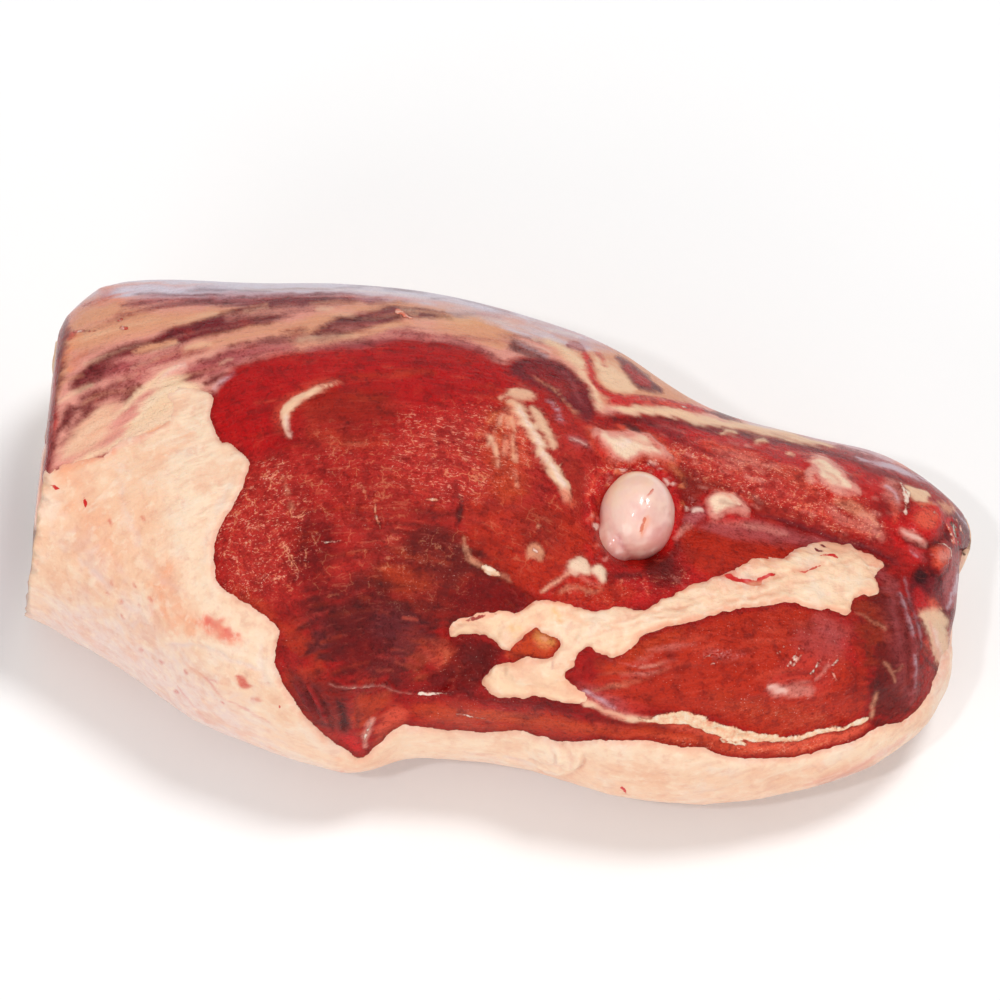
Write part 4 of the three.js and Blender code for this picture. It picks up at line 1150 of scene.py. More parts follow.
FAT_MARKS = [
    Mark("fat_warm", "30,480 90,455 150,470 170,560 120,640 40,600", soft=50, share=0.7),
    Mark("fat_lit", "170,400 215,395 245,460 215,520 205,590 275,640 260,660 190,610 165,520", soft=24,
         share=0.9),
    # Painted shade on the fat's lower left and on the underside of its front.
    Mark("shaded_fat", "20,610 90,600 180,660 280,740 300,820 20,800", soft=30, share=0.85),
    Mark("shaded_fat", "120,690 230,730 330,780 420,770 560,790 620,830 560,900 200,900", soft=16, share=0.7),
    Mark("fat_warm", "560,760 700,765 860,755 930,700 960,720 880,800 700,830 600,810", soft=20, share=0.4),
    Mark("fat_lit", "400,740 520,745 600,752 700,760 800,766 880,745 920,720", 7, 10, 0.7),
    Mark("apricot", "176,552 168,575 160,600 176,618", 9, 16, 0.2),
    Mark("apricot", "166,590 185,612 205,622", 7, 10, 0.3),
    Mark("coral", "198,620 215,616 230,624 244,636 238,646 218,638 204,630", soft=6, share=0.7, rag=0.9),
    Mark("crimson", "204,620 224,628 240,640", 3.5, 5, 0.45, rag=0.9),
    Mark("crimson", "185,663 205,677 224,696 239,704 262,717 278,726", 0.3, 1.7, 0.6, taper=0.4),
    Mark("crimson", "205,677 218,681 230,683", 0.3, 1.7, 0.55, taper=0.4),
    Mark("crimson", "168,668 180,690 196,712 214,724", 0.2, 1.7, 0.5, taper=0.4),
    Mark("apricot", "172,560 160,580 158,604 176,622 200,634", 7, 12, 0.45, rag=0.8),
    Mark("apricot", "60,500 90,520 110,560 90,600", 9, 16, 0.25, rag=1),
    Mark("apricot", "150,460 180,450 196,430", 4, 8, 0.3, rag=1),
    Mark("fat_lit", "196,440 190,480 180,520 168,560", 9, 12, 0.5, rag=1),
    Mark("fat_warm", "160,440 150,490 140,540", 8, 14, 0.6, rag=1),
    # Folds of the fat: the lilac lines pressed into their grooves and the lilac band round the left fold are
    # painted shade; the pale cream lines on their raised ridges are painted highlight.
    Mark("shaded_fat", "236,470 222,505 208,535 206,570", 3, 5, 0.35, lift=-0.3),
    Mark("shaded_fat", "50,520 80,540 120,600 170,640", 10, 16, 0.4, rag=1),
    Mark("fat_lit", "60,560 90,580 130,620", 3, 6, 0.5, lift=0.3, rag=1),
    Mark("shaded_fat", "72,552 104,580 140,616", 1.2, 4, 0.5, lift=-0.35, rag=1),
    Mark("shaded_fat", "120,480 128,520 150,570 190,600", 1.4, 5, 0.4, lift=-0.3, rag=1),
    Mark("fat_lit", "280,660 300,690 330,730 352,762", 5, 6, 0.5, lift=0.4),
    Mark("apricot", "300,706 320,736 344,764", 3, 6, 0.35),
    Mark("apricot", "46,472 70,462 100,456 122,450", 6, 6, 0.6),
    Mark("apricot", "60,470 70,480 84,478", 7, 10, 0.3),
    Mark("rose", "100,462 122,446 142,438 160,432", 2, 3.4, 0.5),
    Mark("apricot", "140,436 160,428 174,420", 1.8, 3, 0.5),
    Mark("blood", "51,486 60,489", 1.8, 2, 0.85),
    Mark("blood", "84,495 87,505 86,509", 2, 2, 0.9),
    Mark("blood", "238,674 246,676 254,684 250,690 242,686 238,680", soft=2.6, share=0.85, rag=0.9),
    Mark("blood", "252,697 262,702", 2, 2.6, 0.7),
    Mark("blood", "279,704 279,710", 1.4, 1.8, 0.7),
    # A ridge across the fat: painted highlight along its top, painted shade along its foot and in the groove
    # beside it.
    Mark("shaded_fat", "163,643 195,643 222,652 243,662 264,668", 1.6, 3, 0.7, lift=-0.35),
    Mark("fat_lit", "160,638 195,638 224,647 246,656 266,662", 2, 4, 0.7, lift=0.35),
    Mark("shaded_fat", "262,640 262,670 270,690", 1.6, 3, 0.5, lift=-0.3),
    Mark("fat_warm", "250,664 262,690 280,716 300,734", 5, 6, 0.5),
    Mark("fat_lit", "526,744 540,740 556,744 566,752 556,761 540,757", share=0.8, lift=1.8, rag=0.8),
    Mark("fat_lit", "554,748 566,743 579,750 581,760 571,769 558,762", share=0.8, lift=2.0, rag=0.8),
    Mark("fat_lit", "536,757 552,760 564,771 552,776 538,767", share=0.8, lift=1.3, rag=0.8),
    # Painted shadows round the crumpled flap: the mauve and rose creases under and between its folds and the
    # lilac line below it.
    Mark("mauve", "528,756 544,760 556,764 566,772", 0.8, 2.8, 0.35, lift=-0.8),
    Mark("mauve", "582,752 584,762 574,772 562,778", 0.9, 3, 0.4, lift=-0.8),
    Mark("rose", "548,745 556,752 560,760", 0.7, 2.6, 0.45, lift=-0.7),
    Mark("rose", "566,748 572,756 570,764", 0.7, 2.6, 0.4, lift=-0.5),
    Mark("shaded_fat", "501,756 530,764 562,774", 2, 3.4, 0.6, lift=-0.8),
    # Painted highlight along a raised ridge by the fat's top edge.
    Mark("fat_lit", "420,742 460,740 500,744 528,752", 4, 6, 0.5, lift=0.4),
    Mark("rose", "470,757 490,758 500,764", 2, 4, 0.3),
    Mark("crimson", "617,783 622,790 627,798", 1.2, 1.8, 0.8),
    Mark("apricot", "800,770 812,766 824,762", 4, 5, 0.3),
    Mark("rose", "800,786 850,769 890,749 915,730", 3, 3, 0.65),
    Mark("mauve", "812,786 850,774 884,758", 3.4, 3.4, 0.5),
    Mark("silver", "824,790 860,776 886,762", 2.4, 3, 0.5),
    Mark("rose", "935,690 945,670 948,652", 3, 4, 0.4),
]

# Small dark specks on the fat, each a column and a row.
FAT_SPECKS = spots("112,582 107,592 122,615 138,605 143,517 110,521 134,584 121,600 150,598 140,650 186,670 "
                   "175,690 222,700 160,662 212,730 290,762 340,772")


def fat_specks():
    """Specks of blood on the fat's left side."""
    return [Mark("blood", f"{x},{y} {x + 2},{y + 2.5}", 0.9, 1.6, 0.65, taper=0) for x, y in FAT_SPECKS]


SEAM_MARKS = [
    Mark("fat_lit", "560,600 700,600 860,560 860,600 700,612 600,650 500,690", soft=14, share=0.6),
    Mark("cream", "446,628 500,618 560,612", 6, 8, 0.7),
    Mark("apricot", "520,600 545,600 570,606", 4, 6, 0.4),
    Mark("amber", "552,606 557,616 560,626", 3, 4, 0.65),
    Mark("amber", "508,624 516,630 524,628", 4, 5, 0.5),
    Mark("apricot", "560,612 576,618 590,628", 3, 4, 0.35),
    Mark("tan", "690,596 720,580 760,566 790,556 820,546 850,550", 6, 6, 0.6, rag=1),
    Mark("rose", "690,592 722,578 752,568", 2.4, 3.4, 0.4, rag=1),
    Mark("rosy", "716,574 734,580 748,584 762,580 780,570", 6, 6, 0.4, rag=1),
    Mark("blood", "722,575 736,582 750,585 764,582", 2, 1.9, 0.9, lift=-0.4, rag=1, taper=0.4),
    Mark("blood", "756,581 768,577 780,572", 1.5, 1.9, 0.8, lift=-0.3, rag=1, taper=0.4),
    Mark("rosy", "788,574 808,569 828,563", 5, 5, 0.4, rag=1),
    Mark("blood", "792,574 808,571 822,566 830,570", 1.8, 1.9, 0.9, lift=-0.4, rag=1, taper=0.4),
    Mark("crimson", "812,561 826,558 838,560", 1, 1.9, 0.8, rag=1),
    Mark("umber", "773,573 777,575", 1, 1.6, 0.8),
    Mark("olive", "783,561 790,558", 1.4, 2.6, 0.5),
    Mark("maroon", "812,550 822,556", 0.7, 1.8, 0.7),
    Mark("maroon", "818,546 826,552", 0.7, 1.8, 0.7),
    Mark("coral", "858,548 872,556 884,566", 6, 7, 0.5, rag=1),
    Mark("crimson", "864,556 876,566 886,572", 3, 5, 0.35, rag=1),
    Mark("rose", "840,544 862,552", 5, 6, 0.4),
    Mark("coral", "852,603 866,600 882,594", 3, 5, 0.3, rag=1),
    *(
        Mark("tan", f"{x},{y} {x + 50},{y - 15} {x + 110},{y - 26}", 0.8, 2.4, 0.6, lift=-0.35)
        for x, y in spots("575,640 596,628 616,640 640,618 655,628 676,604 700,612 716,596 740,600 752,586")
    ),
    Mark("maroon", "463,620 480,617 498,614", 1.2, 1.8, 0.7),
    Mark("crimson", "520,610 528,604 536,600", 2, 3, 0.4),
    Mark("tan", "700,600 760,586 820,580", 1.6, 3, 0.5),
    Mark("tan", "690,608 760,596 800,590", 1.2, 3, 0.4),
    Mark("mauve", "551,656 552,668", 0.8, 1.8, 0.5, lift=-0.4),
    Mark("tan", "482,680 500,692 520,696", 2, 3, 0.6),
    Mark(None, "505,668 530,672 560,676", 9, 6, 1, 0.9),
    Mark(None, "575,640 590,630 612,634", 9, 6, 1, 1.0),
    Mark(None, "552,660 568,648 580,636", 4, 4, 1, 0.8),
]


# ------------------------------------------------------------------ materials


class Value:
    """A number or colour inside a material. Arithmetic on it adds the Math nodes."""

    def __init__(self, finish, socket):
        self.finish, self.socket = finish, socket

    def math(self, operation, *others):
        return self.finish.node("Math", {"operation": operation}, dict(enumerate((self, *others))))

    def __add__(self, other):
        return self.math("ADD", other)

    def __sub__(self, other):
        return self.math("SUBTRACT", other)

    def __mul__(self, other):
        return self.math("MULTIPLY", other)

    def __rsub__(self, other):
        return self.math("MULTIPLY_ADD", -1.0, other)

    __radd__ = __add__

    def step(self, low, high):
        """Eased step from 0 at low to 1 at high."""
        ends = {"Value": self, "From Min": low, "From Max": high}
        return self.finish.node("MapRange", {"interpolation_type": "SMOOTHSTEP"}, ends)


class Finish:
    """A material in the making."""

    def __init__(self, name):
        self.material = bpy.data.materials.new(name)
        self.material.use_nodes = True
        self.tree = self.material.node_tree
        self.tree.nodes.clear()
        place = self.node("TexCoord", output="Object")
        self.place = self.scaled(place, (1 / MM, 1 / MM, 1 / MM))

    def node(self, kind, settings=None, values=None, output=0):
        """Adds a node with its settings and the values or links of its sockets."""
        made = self.tree.nodes.new("ShaderNode" + kind)
        for name, value in (settings or {}).items():
            setattr(made, name, value)
        for key, value in (values or {}).items():
            if isinstance(value, Value):
                self.tree.links.new(value.socket, made.inputs[key])
            else:
                made.inputs[key].default_value = value
        return Value(self, made.outputs[output]) if made.outputs else None

    def field(self, name, output="Fac"):
        """What is painted on the mesh under a name: a number, or a Vector or Color."""
        return self.node("Attribute", {"attribute_name": name}, output=output)

    def scaled(self, place, factors):
        return self.node("VectorMath", {"operation": "MULTIPLY"}, {0: place, 1: factors})

    def noise(self, place, size, detail=2.0, rough=0.5):
        """Random values round 0.5, with lumps of a size in mm."""
        values = {"Vector": place, "Scale": 1 / size, "Detail": detail, "Roughness": rough}
        return self.node("TexNoise", {}, values)

    def fibres(self, stretch, size, detail, rough):
        """Random values drawn out along the fibres of the muscles."""
        sweep, rays = (
            self.noise(self.scaled(self.field(name, "Vector"), (stretch, 1, 1)), size, detail, rough)
            for name in ("sweep", "rays")
        )
        return sweep + (rays - sweep) * self.field("ray_share")

    def shaken(self, place, size, amount):
        """A place pushed about at random by an amount in mm."""
        values = {"Vector": place, "Scale": 1 / size}
        push = self.scaled(self.node("TexNoise", {}, values, output="Color"), (amount, amount, amount))
        return self.node("VectorMath", {"operation": "ADD"}, {0: place, 1: push})

    def blend(self, share, below, above, way="MIX"):
        """The colour below, covered with the one above by a share."""
        settings = {"data_type": "RGBA", "blend_type": way}
        return self.node("Mix", settings, {0: share, 6: below, 7: above}, output=2)

    def bump(self, height, depth, **onto):
        """A normal roughened by a height from 0 to 1 that stands for a depth."""
        return self.node("Bump", {}, {"Distance": depth, "Height": height, **onto})

    def surface(self, **values):
        """Ends the material with the shader, whose sockets take the values."""
        sockets = {name.replace("_", " "): value for name, value in values.items()}
        shader = self.node("BsdfPrincipled", {}, sockets)
        self.node("OutputMaterial", {}, {"Surface": shader})
        return self.material


def tint(red, green, blue):
    """A colour in 0 to 255 steps, as a material's socket takes it."""
    return (*linear(red, green, blue), 1.0)


def lean_material():
    sizes = bpy.context.scene.lamb_sizes
    lean = Finish("raw lean lamb")
    grain, wet, strands = (lean.field(name) for name in LAYERS)
    streaks = lean.fibres(0.14, 1.2, 4, 0.62)
    flecks = lean.fibres(0.5, 0.6, 3, 0.65)
    glint_noise = lean.noise(lean.place, 0.55, 1.5, 0.5)
    threads = lean.fibres(0.16, 1.5, 3, 0.6)
    blotches = lean.noise(lean.place, 8, 4, 0.6)
    clusters = lean.noise(lean.place, 3.2, 3, 0.6)
    fine = lean.noise(lean.place, 0.8, 3, 0.65)
    lumps = lean.noise(lean.place, 2.2, 5, 0.65)
    shaken = lean.shaken(lean.place, 3, 3.2)
    veins = lean.node("TexVoronoi", {"feature": "DISTANCE_TO_EDGE"}, {"Vector": shaken, "Scale": 1 / 5.2})

    paint = lean.field("paint", "Color")
    bare = 1 - lean.node("SeparateColor", {}, {0: paint}, output=1).step(0.12, 0.42)
    colour = lean.blend(blotches.step(0.5, 0.32) * 0.5 * bare, paint, tint(184, 140, 136), "MULTIPLY")
    colour = lean.blend(blotches.step(0.54, 0.7) * 0.16 * bare, colour, tint(222, 70, 44))
    colour = lean.blend(clusters.step(0.5, 0.34) * 0.5 * bare, colour, tint(176, 116, 112), "MULTIPLY")
    dark = streaks.step(0.5, 0.34) * (bare * 0.25 + 0.1)
    colour = lean.blend(dark, colour, tint(190, 126, 122), "MULTIPLY")
    colour = lean.blend(streaks.step(0.56, 0.74) * 0.14, colour, tint(238, 110, 90))
    lines = (threads + clusters * 0.4).step(0.8, 0.88) * strands
    colour = lean.blend(lines * 0.3, colour, tint(238, 138, 100))
    net = (1 - veins.step(0.01, 0.05)) * (clusters + blotches * 0.6).step(0.8, 0.92) * (strands + grain)
    colour = lean.blend(net * 0.3, colour, tint(244, 166, 118))
    pale = (flecks + clusters * 0.4 + grain * 0.04).step(0.8, 0.92) * grain
    colour = lean.blend(pale * 0.65, colour, tint(248, 164, 136))
    # Painted glints: tiny near-white specks where the grain and wet layers are, for the sparkle of wet
    # fibres.
    painted_glints = glint_noise.step(0.67, 0.75) * (grain * 0.7 + wet * 0.3 + 0.04) * clusters.step(0.42, 0.58) * bare
    colour = lean.blend(painted_glints, colour, tint(255, 222, 204))
    cover = lean.field("cover")
    top = lean.field("top", "Color")
    top = lean.blend(lumps.step(0.5, 0.34) * 0.55, top, tint(242, 150, 118))
    top = lean.blend(lumps.step(0.5, 0.62) * 0.6, top, tint(255, 238, 218))
    top = lean.blend((cover + (lumps - 0.5) * 1.6).step(0.8, 0.45) * 0.7, top, tint(228, 92, 66))
    edge = (cover + (fine - 0.5) * 0.7 + (lumps - 0.5) * 0.9).step(0.36, 0.64)
    colour = lean.blend(fine.step(0.52, 0.3) * 0.5 * bare, colour, tint(186, 120, 112), "MULTIPLY")
    colour = lean.blend(edge, colour, top)

    normal = lean.bump(streaks, sizes.fibre_depth * 2)
    normal = lean.bump(clusters, 0.8 * MM, Normal=normal)
    normal = lean.bump(fine, sizes.grain_depth * 1.2, Normal=normal)
    normal = lean.bump(edge * (lumps + 0.1), 0.5 * MM, Normal=normal)
    rough = 0.32 - bare * 0.12 - wet * 0.04 + (blotches - 0.5) * 0.16
    return lean.surface(
        Base_Color=colour, Roughness=rough, Normal=normal, Subsurface_Weight=0.06,
        Subsurface_Radius=(1.0, 0.3, 0.2), Subsurface_Scale=1.2 * MM, Specular_IOR_Level=0.16,
        Coat_Weight=wet * fine.step(0.45, 0.6) * 0.1, Coat_Roughness=0.12,
    )


def fat_material(name):
    sizes = bpy.context.scene.lamb_sizes
    fat = Finish(name)
    broad = fat.noise(fat.place, 14, 4, 0.62)
    patches = fat.noise(fat.place, 4.2, 5, 0.62)
    fine = fat.noise(fat.place, 1.1, 4, 0.6)
    folds = fat.fibres(0.25, 3.2, 4, 0.6)
    colour = fat.field("paint", "Color")
    colour = fat.blend(broad.step(0.48, 0.64) * 0.45, colour, tint(238, 176, 142))
    colour = fat.blend(broad.step(0.48, 0.32) * 0.4, colour, tint(244, 224, 208))
    colour = fat.blend(patches.step(0.52, 0.66) * 0.4, colour, tint(253, 226, 198))
    colour = fat.blend(patches.step(0.48, 0.3) * 0.35, colour, tint(226, 160, 134))
    colour = fat.blend(folds.step(0.48, 0.32) * 0.3, colour, tint(224, 162, 134))
    colour = fat.blend(folds.step(0.56, 0.68) * 0.3, colour, tint(255, 234, 212))
    edge = (fat.field("cover") + (fine - 0.5) * 0.6 + (patches - 0.5) * 0.3).step(0.42, 0.62)
    colour = fat.blend(edge, colour, fat.field("top", "Color"))
    normal = fat.bump(folds, 0.6 * MM)
    normal = fat.bump(patches, 0.7 * MM, Normal=normal)
    normal = fat.bump(fine, sizes.fat_dimples * 0.5, Normal=normal)
    rough = 0.45 + (broad - 0.5) * 0.4
    return fat.surface(
        Base_Color=colour, Roughness=rough, Normal=normal, Subsurface_Weight=0.15,
        Subsurface_Radius=(1.0, 0.6, 0.4), Subsurface_Scale=2 * MM, Specular_IOR_Level=0.35,
        Coat_Weight=0.12, Coat_Roughness=0.22,
    )


def bone_material():
    bone = Finish("gristle and bone")
    broad = bone.noise(bone.place, 7, 3)
    fine = bone.noise(bone.place, 1.4, 3)
    colour = bone.field("paint", "Color")
    colour = bone.blend(broad.step(0.48, 0.66) * 0.25, colour, tint(226, 158, 160))
    colour = bone.blend(broad.step(0.46, 0.32) * 0.3, colour, tint(250, 220, 194))
    edge = (bone.field("cover") + (fine - 0.5) * 0.6).step(0.4, 0.64)
    colour = bone.blend(edge * 0.8, colour, bone.field("top", "Color"))
    return bone.surface(
        Base_Color=colour, Roughness=0.26 + fine * 0.1, Normal=bone.bump(fine, 0.12 * MM),
        Subsurface_Weight=0.2, Subsurface_Radius=(1.0, 0.5, 0.4), Subsurface_Scale=2 * MM,
        Coat_Weight=0.6, Coat_Roughness=0.07,
    )


# ------------------------------------------------------------------ the pieces

# Widths of the voxels of each piece's mesh, and for the bone also with its ball.
MEAT_VOXEL = 3.2 * MM
FAT_VOXEL = 3.1 * MM
SEAM_VOXEL = 1.4 * MM
BONE_VOXELS = 1.1 * MM, 0.9 * MM
# The meat's mesh is made finer in two rounds: where it faces the viewer by at least the first
# share, or the saw cut by the second. Nothing faces a side by NOWHERE.
NOWHERE = 2
MEAT_ROUNDS = (-0.5, 0.95), (0.18, NOWHERE)
# The fat's is, by the share that it faces the viewer or by the distance from its edge.
FAT_ROUNDS = (0.1, 4 * MM), (0.3, 3 * MM)
# How far the outer fat reaches into the meat, and how deep the other layers lie in it.
FAT_BITE = 0.6 * MM
SEAM_BED = 5 * MM
BONE_BED = 3 * MM
SAWN_RECESS = 0.9 * MM
# The dish in the meat round the ball: its floor's height over the ball's middle, its greatest
# depth, and where its side starts and ends, in radii of the ball.
DISH_FLOOR = 2.6 * MM
DEEPEST_DISH = 14 * MM
DISH_EDGE = 0.94, 1.24

class LAMB_OT_muscles(bpy.types.Operator):
    """Makes the lean meat with its fibres, membranes and sawn end"""

    bl_idname = "lamb.muscles"
    bl_label = "Muscles"

    def execute(self, context):
        sizes = context.scene.lamb_sizes
        meat = cad_copy("muscles", [*LEG_NODES, "femur"], SWELL, MEAT_VOXEL, 4)
        for facing_from, cut_from in MEAT_ROUNDS:
            points, normals = points_of(meat), normals_of(meat)
            chosen = (leg().fat_depth(points) < 1.5 * MM) & (leg().sawn(points) > 1.0 * MM)
            on_cut = normals @ SAW_NORMAL > cut_from
            refine(meat, on_cut | chosen & (normals @ OUT_OF_FACE > facing_from))
        thin_out(meat)
        points, normals = points_of(meat), normals_of(meat)
        fat_depth, seam_depth, sawn = leg().fat_depth(points), leg().seam_depth(points), leg().sawn(points)
        painting = Painting(points, "lean", stretch=8)
        self.paint_lean(painting, np.maximum(fat_depth, seam_depth))
        by_saw = (1 - smooth(sawn + 1.5 * MM * painting.fray, 1.5 * MM, 5 * MM)) * (fat_depth < 0)
        painting.wash("maroon", 0.85 * by_saw)
        self.paint_sawn_face(painting, points, normals)

        under_fat = smooth(fat_depth, 0.5 * MM, 5 * MM) * (sizes.fat_thickness - FAT_BITE)
        under_fat *= smooth(sawn, 0, 6 * MM)
        dip = sizes.lip_height * (1 - smooth(-fat_depth, 0, 12 * MM)) * (1 - leg().thin_edge(points))
        facing = smooth(normals @ OUT_OF_FACE, -0.2, 0.3)
        under_seam = smooth(seam_depth, 0.5 * MM, 4 * MM) * SEAM_BED * facing
        recess = np.clip(SAWN_RECESS - 0.3 * sawn, 0, 1)
        shift = painting.lift * facing - under_fat - dip - under_seam - self.under_bone(points)
        points = points + normals * shift[:, None] - recess[:, None] * SAW_NORMAL
        move_points(meat, points - self.round_ball(points)[:, None] * OUT_OF_FACE)
        painting.keep(meat)
        return finish_piece(meat, lean_material(), "meat", "meat")

    def paint_lean(self, painting, fat_depth):
        """Draws the lean, its streaks and the skins over it. Later marks lie over earlier ones."""
        draw, skins = painting.draw, MEMBRANES[0].line
        draw(TONES + GRAIN)
        # Painted shade: the lean darkens to deep red within 2 mm of the fat cover's and the seam fat's edges.
        painting.wash("deep", 0.5 * smooth(fat_depth + 0.7 * MM * painting.fray, -2 * MM, 0))
        draw(streaks_in(LEAN_AREA, 110, 13, "umber plum rust deep rosy", 3.4, (6, 26), (0.15, 0.45)))
        draw(streaks_in(LEAN_AREA, 70, 14, "rosy coral rust", 0.7, (3, 9), (0.2, 0.5)))
        draw(CONNECTIVE + MUSCLES_BY_THE_BONE + OVAL_MUSCLE)
        draw(streaks_in(STRIP_AREA, 50, 15, "deep rosy coral crimson", 2.2, (5, 16), (0.2, 0.6), 0.2))
        draw(streaks_in(STRIP_AREA, 110, 16, "coral rosy rose", 0.8, (2, 5), (0.3, 0.7)))
        draw(froth())
        draw(streaks_in(FAN_AREA, 26, 17, "rose rosy tan", 1.0, (5, 14), (0.2, 0.5)))
        draw(streaks_in(OVAL_AREA, 50, 18, "umber deep rosy coral", 2.4, (6, 20), (0.1, 0.35)))
        draw(MEMBRANES, blur=1.4)
        draw(back_streaks())
        for count, seed, paints, widest, run, blur in (
            (90, 3, "maroon mauve rose tan cream", 3.0, (8, 32), 1.6),
            (40, 5, "rose tan cream", 1.2, (6, 20), 0.6),
        ):
            draw(streaks_in(skins, count, seed, paints, widest, run, (0.2, 0.6), box=SKIN_BOX), blur)
        draw(FAT_TONGUE + TOP_MUSCLE + RUMP_END)

    def under_bone(self, points):
        """How far (metres) the meat keeps below the surface round the bone's sawn end."""
        on_end = 1 - smooth(across_bone_end(points), 0.85, 1)
        return BONE_BED * (leg().sawn(points) < 2 * MM) * on_end

    def round_ball(self, points):
        """How far (metres) the meat goes back where the ball of the bone shows."""
        columns, rows, depth = ruled(points)
        away = np.hypot((columns - BALL[0]) / BALL_RADIUS, (rows - BALL[1]) / BALL_HEIGHT)
        floor = ball_depth() + DISH_FLOOR
        return (1 - smooth(away, *DISH_EDGE)) * np.clip(depth - floor, 0, DEEPEST_DISH)

    def paint_sawn_face(self, painting, points, normals):
        """Colours the sawn end: bundles of lean with pale seams between them."""
        face = smooth(normals @ SAW_NORMAL, 0.75, 0.95) * smooth(-leg().sawn(points), -3 * MM, -1.5 * MM)
        bundles = rough_field(points, 21 * MM, 21) + 0.12 * rough_field(points, 6 * MM, 22)
        seams = smooth(-np.abs(bundles), -0.05, -0.012)
        tones = rough_field(points, 12 * MM, 23) + 0.4 * rough_field(points, 3 * MM, 24)
        painting.cover *= 1 - face
        painting.wash("lean", face)
        painting.wash("deep", face * smooth(tones, 0, 0.6) * 0.7)
        painting.wash("rosy", face * smooth(-tones, 0.1, 0.6) * 0.4)
        painting.wash("tan", face * seams * 0.7)
        painting.wash("crimson", face * 0.6 * (1 - smooth(across_bone_end(points), 1.0, 1.25)))
        painting.layers["grain"] = np.maximum(painting.layers["grain"] * (1 - face), face * 0.3)


# The ball of the thigh bone, and the lobe below it where the neck begins, on the ruled face.
BALL = (637, 516)
BALL_RADIUS = 38
BALL_HEIGHT = 45
LOBE = (612, 545)
LOBE_RADIUS = 23
# The lobe's middle is this much nearer to the viewer than the ball's.
LOBE_RISE = 1.2 * MM


def ball_depth():
    """The depth of the middle of the thigh bone's ball."""
    columns, rows, depth = ruled(points_of(frame["nodes"]["femur"]))
    return depth[np.hypot(columns - BALL[0], rows - BALL[1]) < BALL_RADIUS].max() - BALL_RADIUS * SQUARE


def across_bone_end(points):
    """How far points are from the middle of the bone's sawn end, where 1 is its edge."""
    bone = points_of(frame["nodes"]["femur"])
    end = bone[leg().sawn(bone) < 2 * MM]
    middle = (end.min(0) + end.max(0)) / 2
    radius = np.linalg.norm(end - middle, axis=1).max()
    return np.linalg.norm(np.cross(points - middle, SAW_NORMAL), axis=1) / radius


def lip(depth, height, width, base):
    """How far a layer of fat stands over the leg's form, by the distance inside its edge."""
    rising = np.clip(depth / width, -1, 1)
    over = np.where(rising < 0, rising * 1.6 * MM, height * np.sqrt(np.clip(rising * (2 - rising), 0, 1)))
    return base + over


# The fat cover's skin is cut off this far inside the saw cut, and its end is then drawn out to it.
SAW_TRIM = 2.2 * MM


class LAMB_OT_fat_cover(bpy.types.Operator):
    """Makes the outer layer of fat with its rounded rim"""

    bl_idname = "lamb.fat_cover"
    bl_label = "Fat cover"

    def execute(self, context):
        sizes = context.scene.lamb_sizes
        fat = cad_copy("fat_skin", LEG_NODES, SWELL, FAT_VOXEL, 5)
        self.cut_at_saw(fat)
        points = points_of(fat)
        keep_piece_at(fat, leg().fat_depth(points) < -5 * MM, points[np.argmin(points[:, 2])])
        for facing_from, edge in FAT_ROUNDS:
            points, normals = points_of(fat), normals_of(fat)
            seen = (normals @ OUT_OF_FACE > facing_from) | (np.abs(leg().fat_depth(points)) < edge)
            refine(fat, seen & (leg().sawn(points) > SAW_TRIM + 1.5 * MM))
        points, normals = points_of(fat), normals_of(fat)
        painting = Painting(points, "fat", stretch=3)
        depth = leg().fat_depth(points)
        # Painted shade: the fat turns lilac-grey towards the floor.
        low = 1 - smooth(points[:, 2], 4 * MM, 40 * MM)
        painting.wash("shaded_fat", low * 0.7)
        painting.draw(FAT_MARKS + fat_specks())
        painting.wash("rose", 0.35 * (1 - smooth(depth, 0.2 * MM, 1.6 * MM)))
        dimples = 0.5 * MM * rough_field(points, 13 * MM, 31) + 0.25 * MM * rough_field(points, 5 * MM, 32)
        height = sizes.lip_height * (1 - leg().thin_edge(points))
        rise = lip(depth, height, sizes.lip_width, -height)
        rise += (painting.lift + dimples - 0.2 * MM) * smooth(depth, 0, 5 * MM)
        lowest = points[:, 2] + normals[:, 2] * rise < 0.2 * MM
        rise = np.where(lowest, np.minimum(rise, 0), rise)
        move_points(fat, points + normals * rise[:, None])
        painting.keep(fat)
        applied(fat, "SOLIDIFY", thickness=sizes.fat_thickness, offset=-1)
        thin_out(fat)
        points = points_of(fat)
        sawn = leg().sawn(points)
        flush = np.clip(1 - (sawn - SAW_TRIM) / (3 * MM), 0, 1) * (SAW_TRIM - 0.2 * MM)
        points += flush[:, None] * SAW_NORMAL
        points[:, 2] = np.maximum(points[:, 2], 0)
        move_points(fat, points)
        return finish_piece(fat, fat_material("raw outer fat"), "fat", "fat_cover")

    def cut_at_saw(self, fat):
        """Cuts a skin off straight, just inside the saw cut."""
        select_points(fat, np.ones(len(fat.data.vertices), bool))
        spot = SAW_NORMAL * (leg().saw - SAW_TRIM)
        bpy.ops.mesh.bisect(plane_co=spot, plane_no=SAW_NORMAL, clear_outer=True)
        bpy.ops.object.mode_set(mode="OBJECT")


# A spot over the middle of the seam fat: its column, its row and its depth in metres.
OVER_SEAM = (600, 630, 0.1)
SEAM_LIP_WIDTH = 2.2 * MM


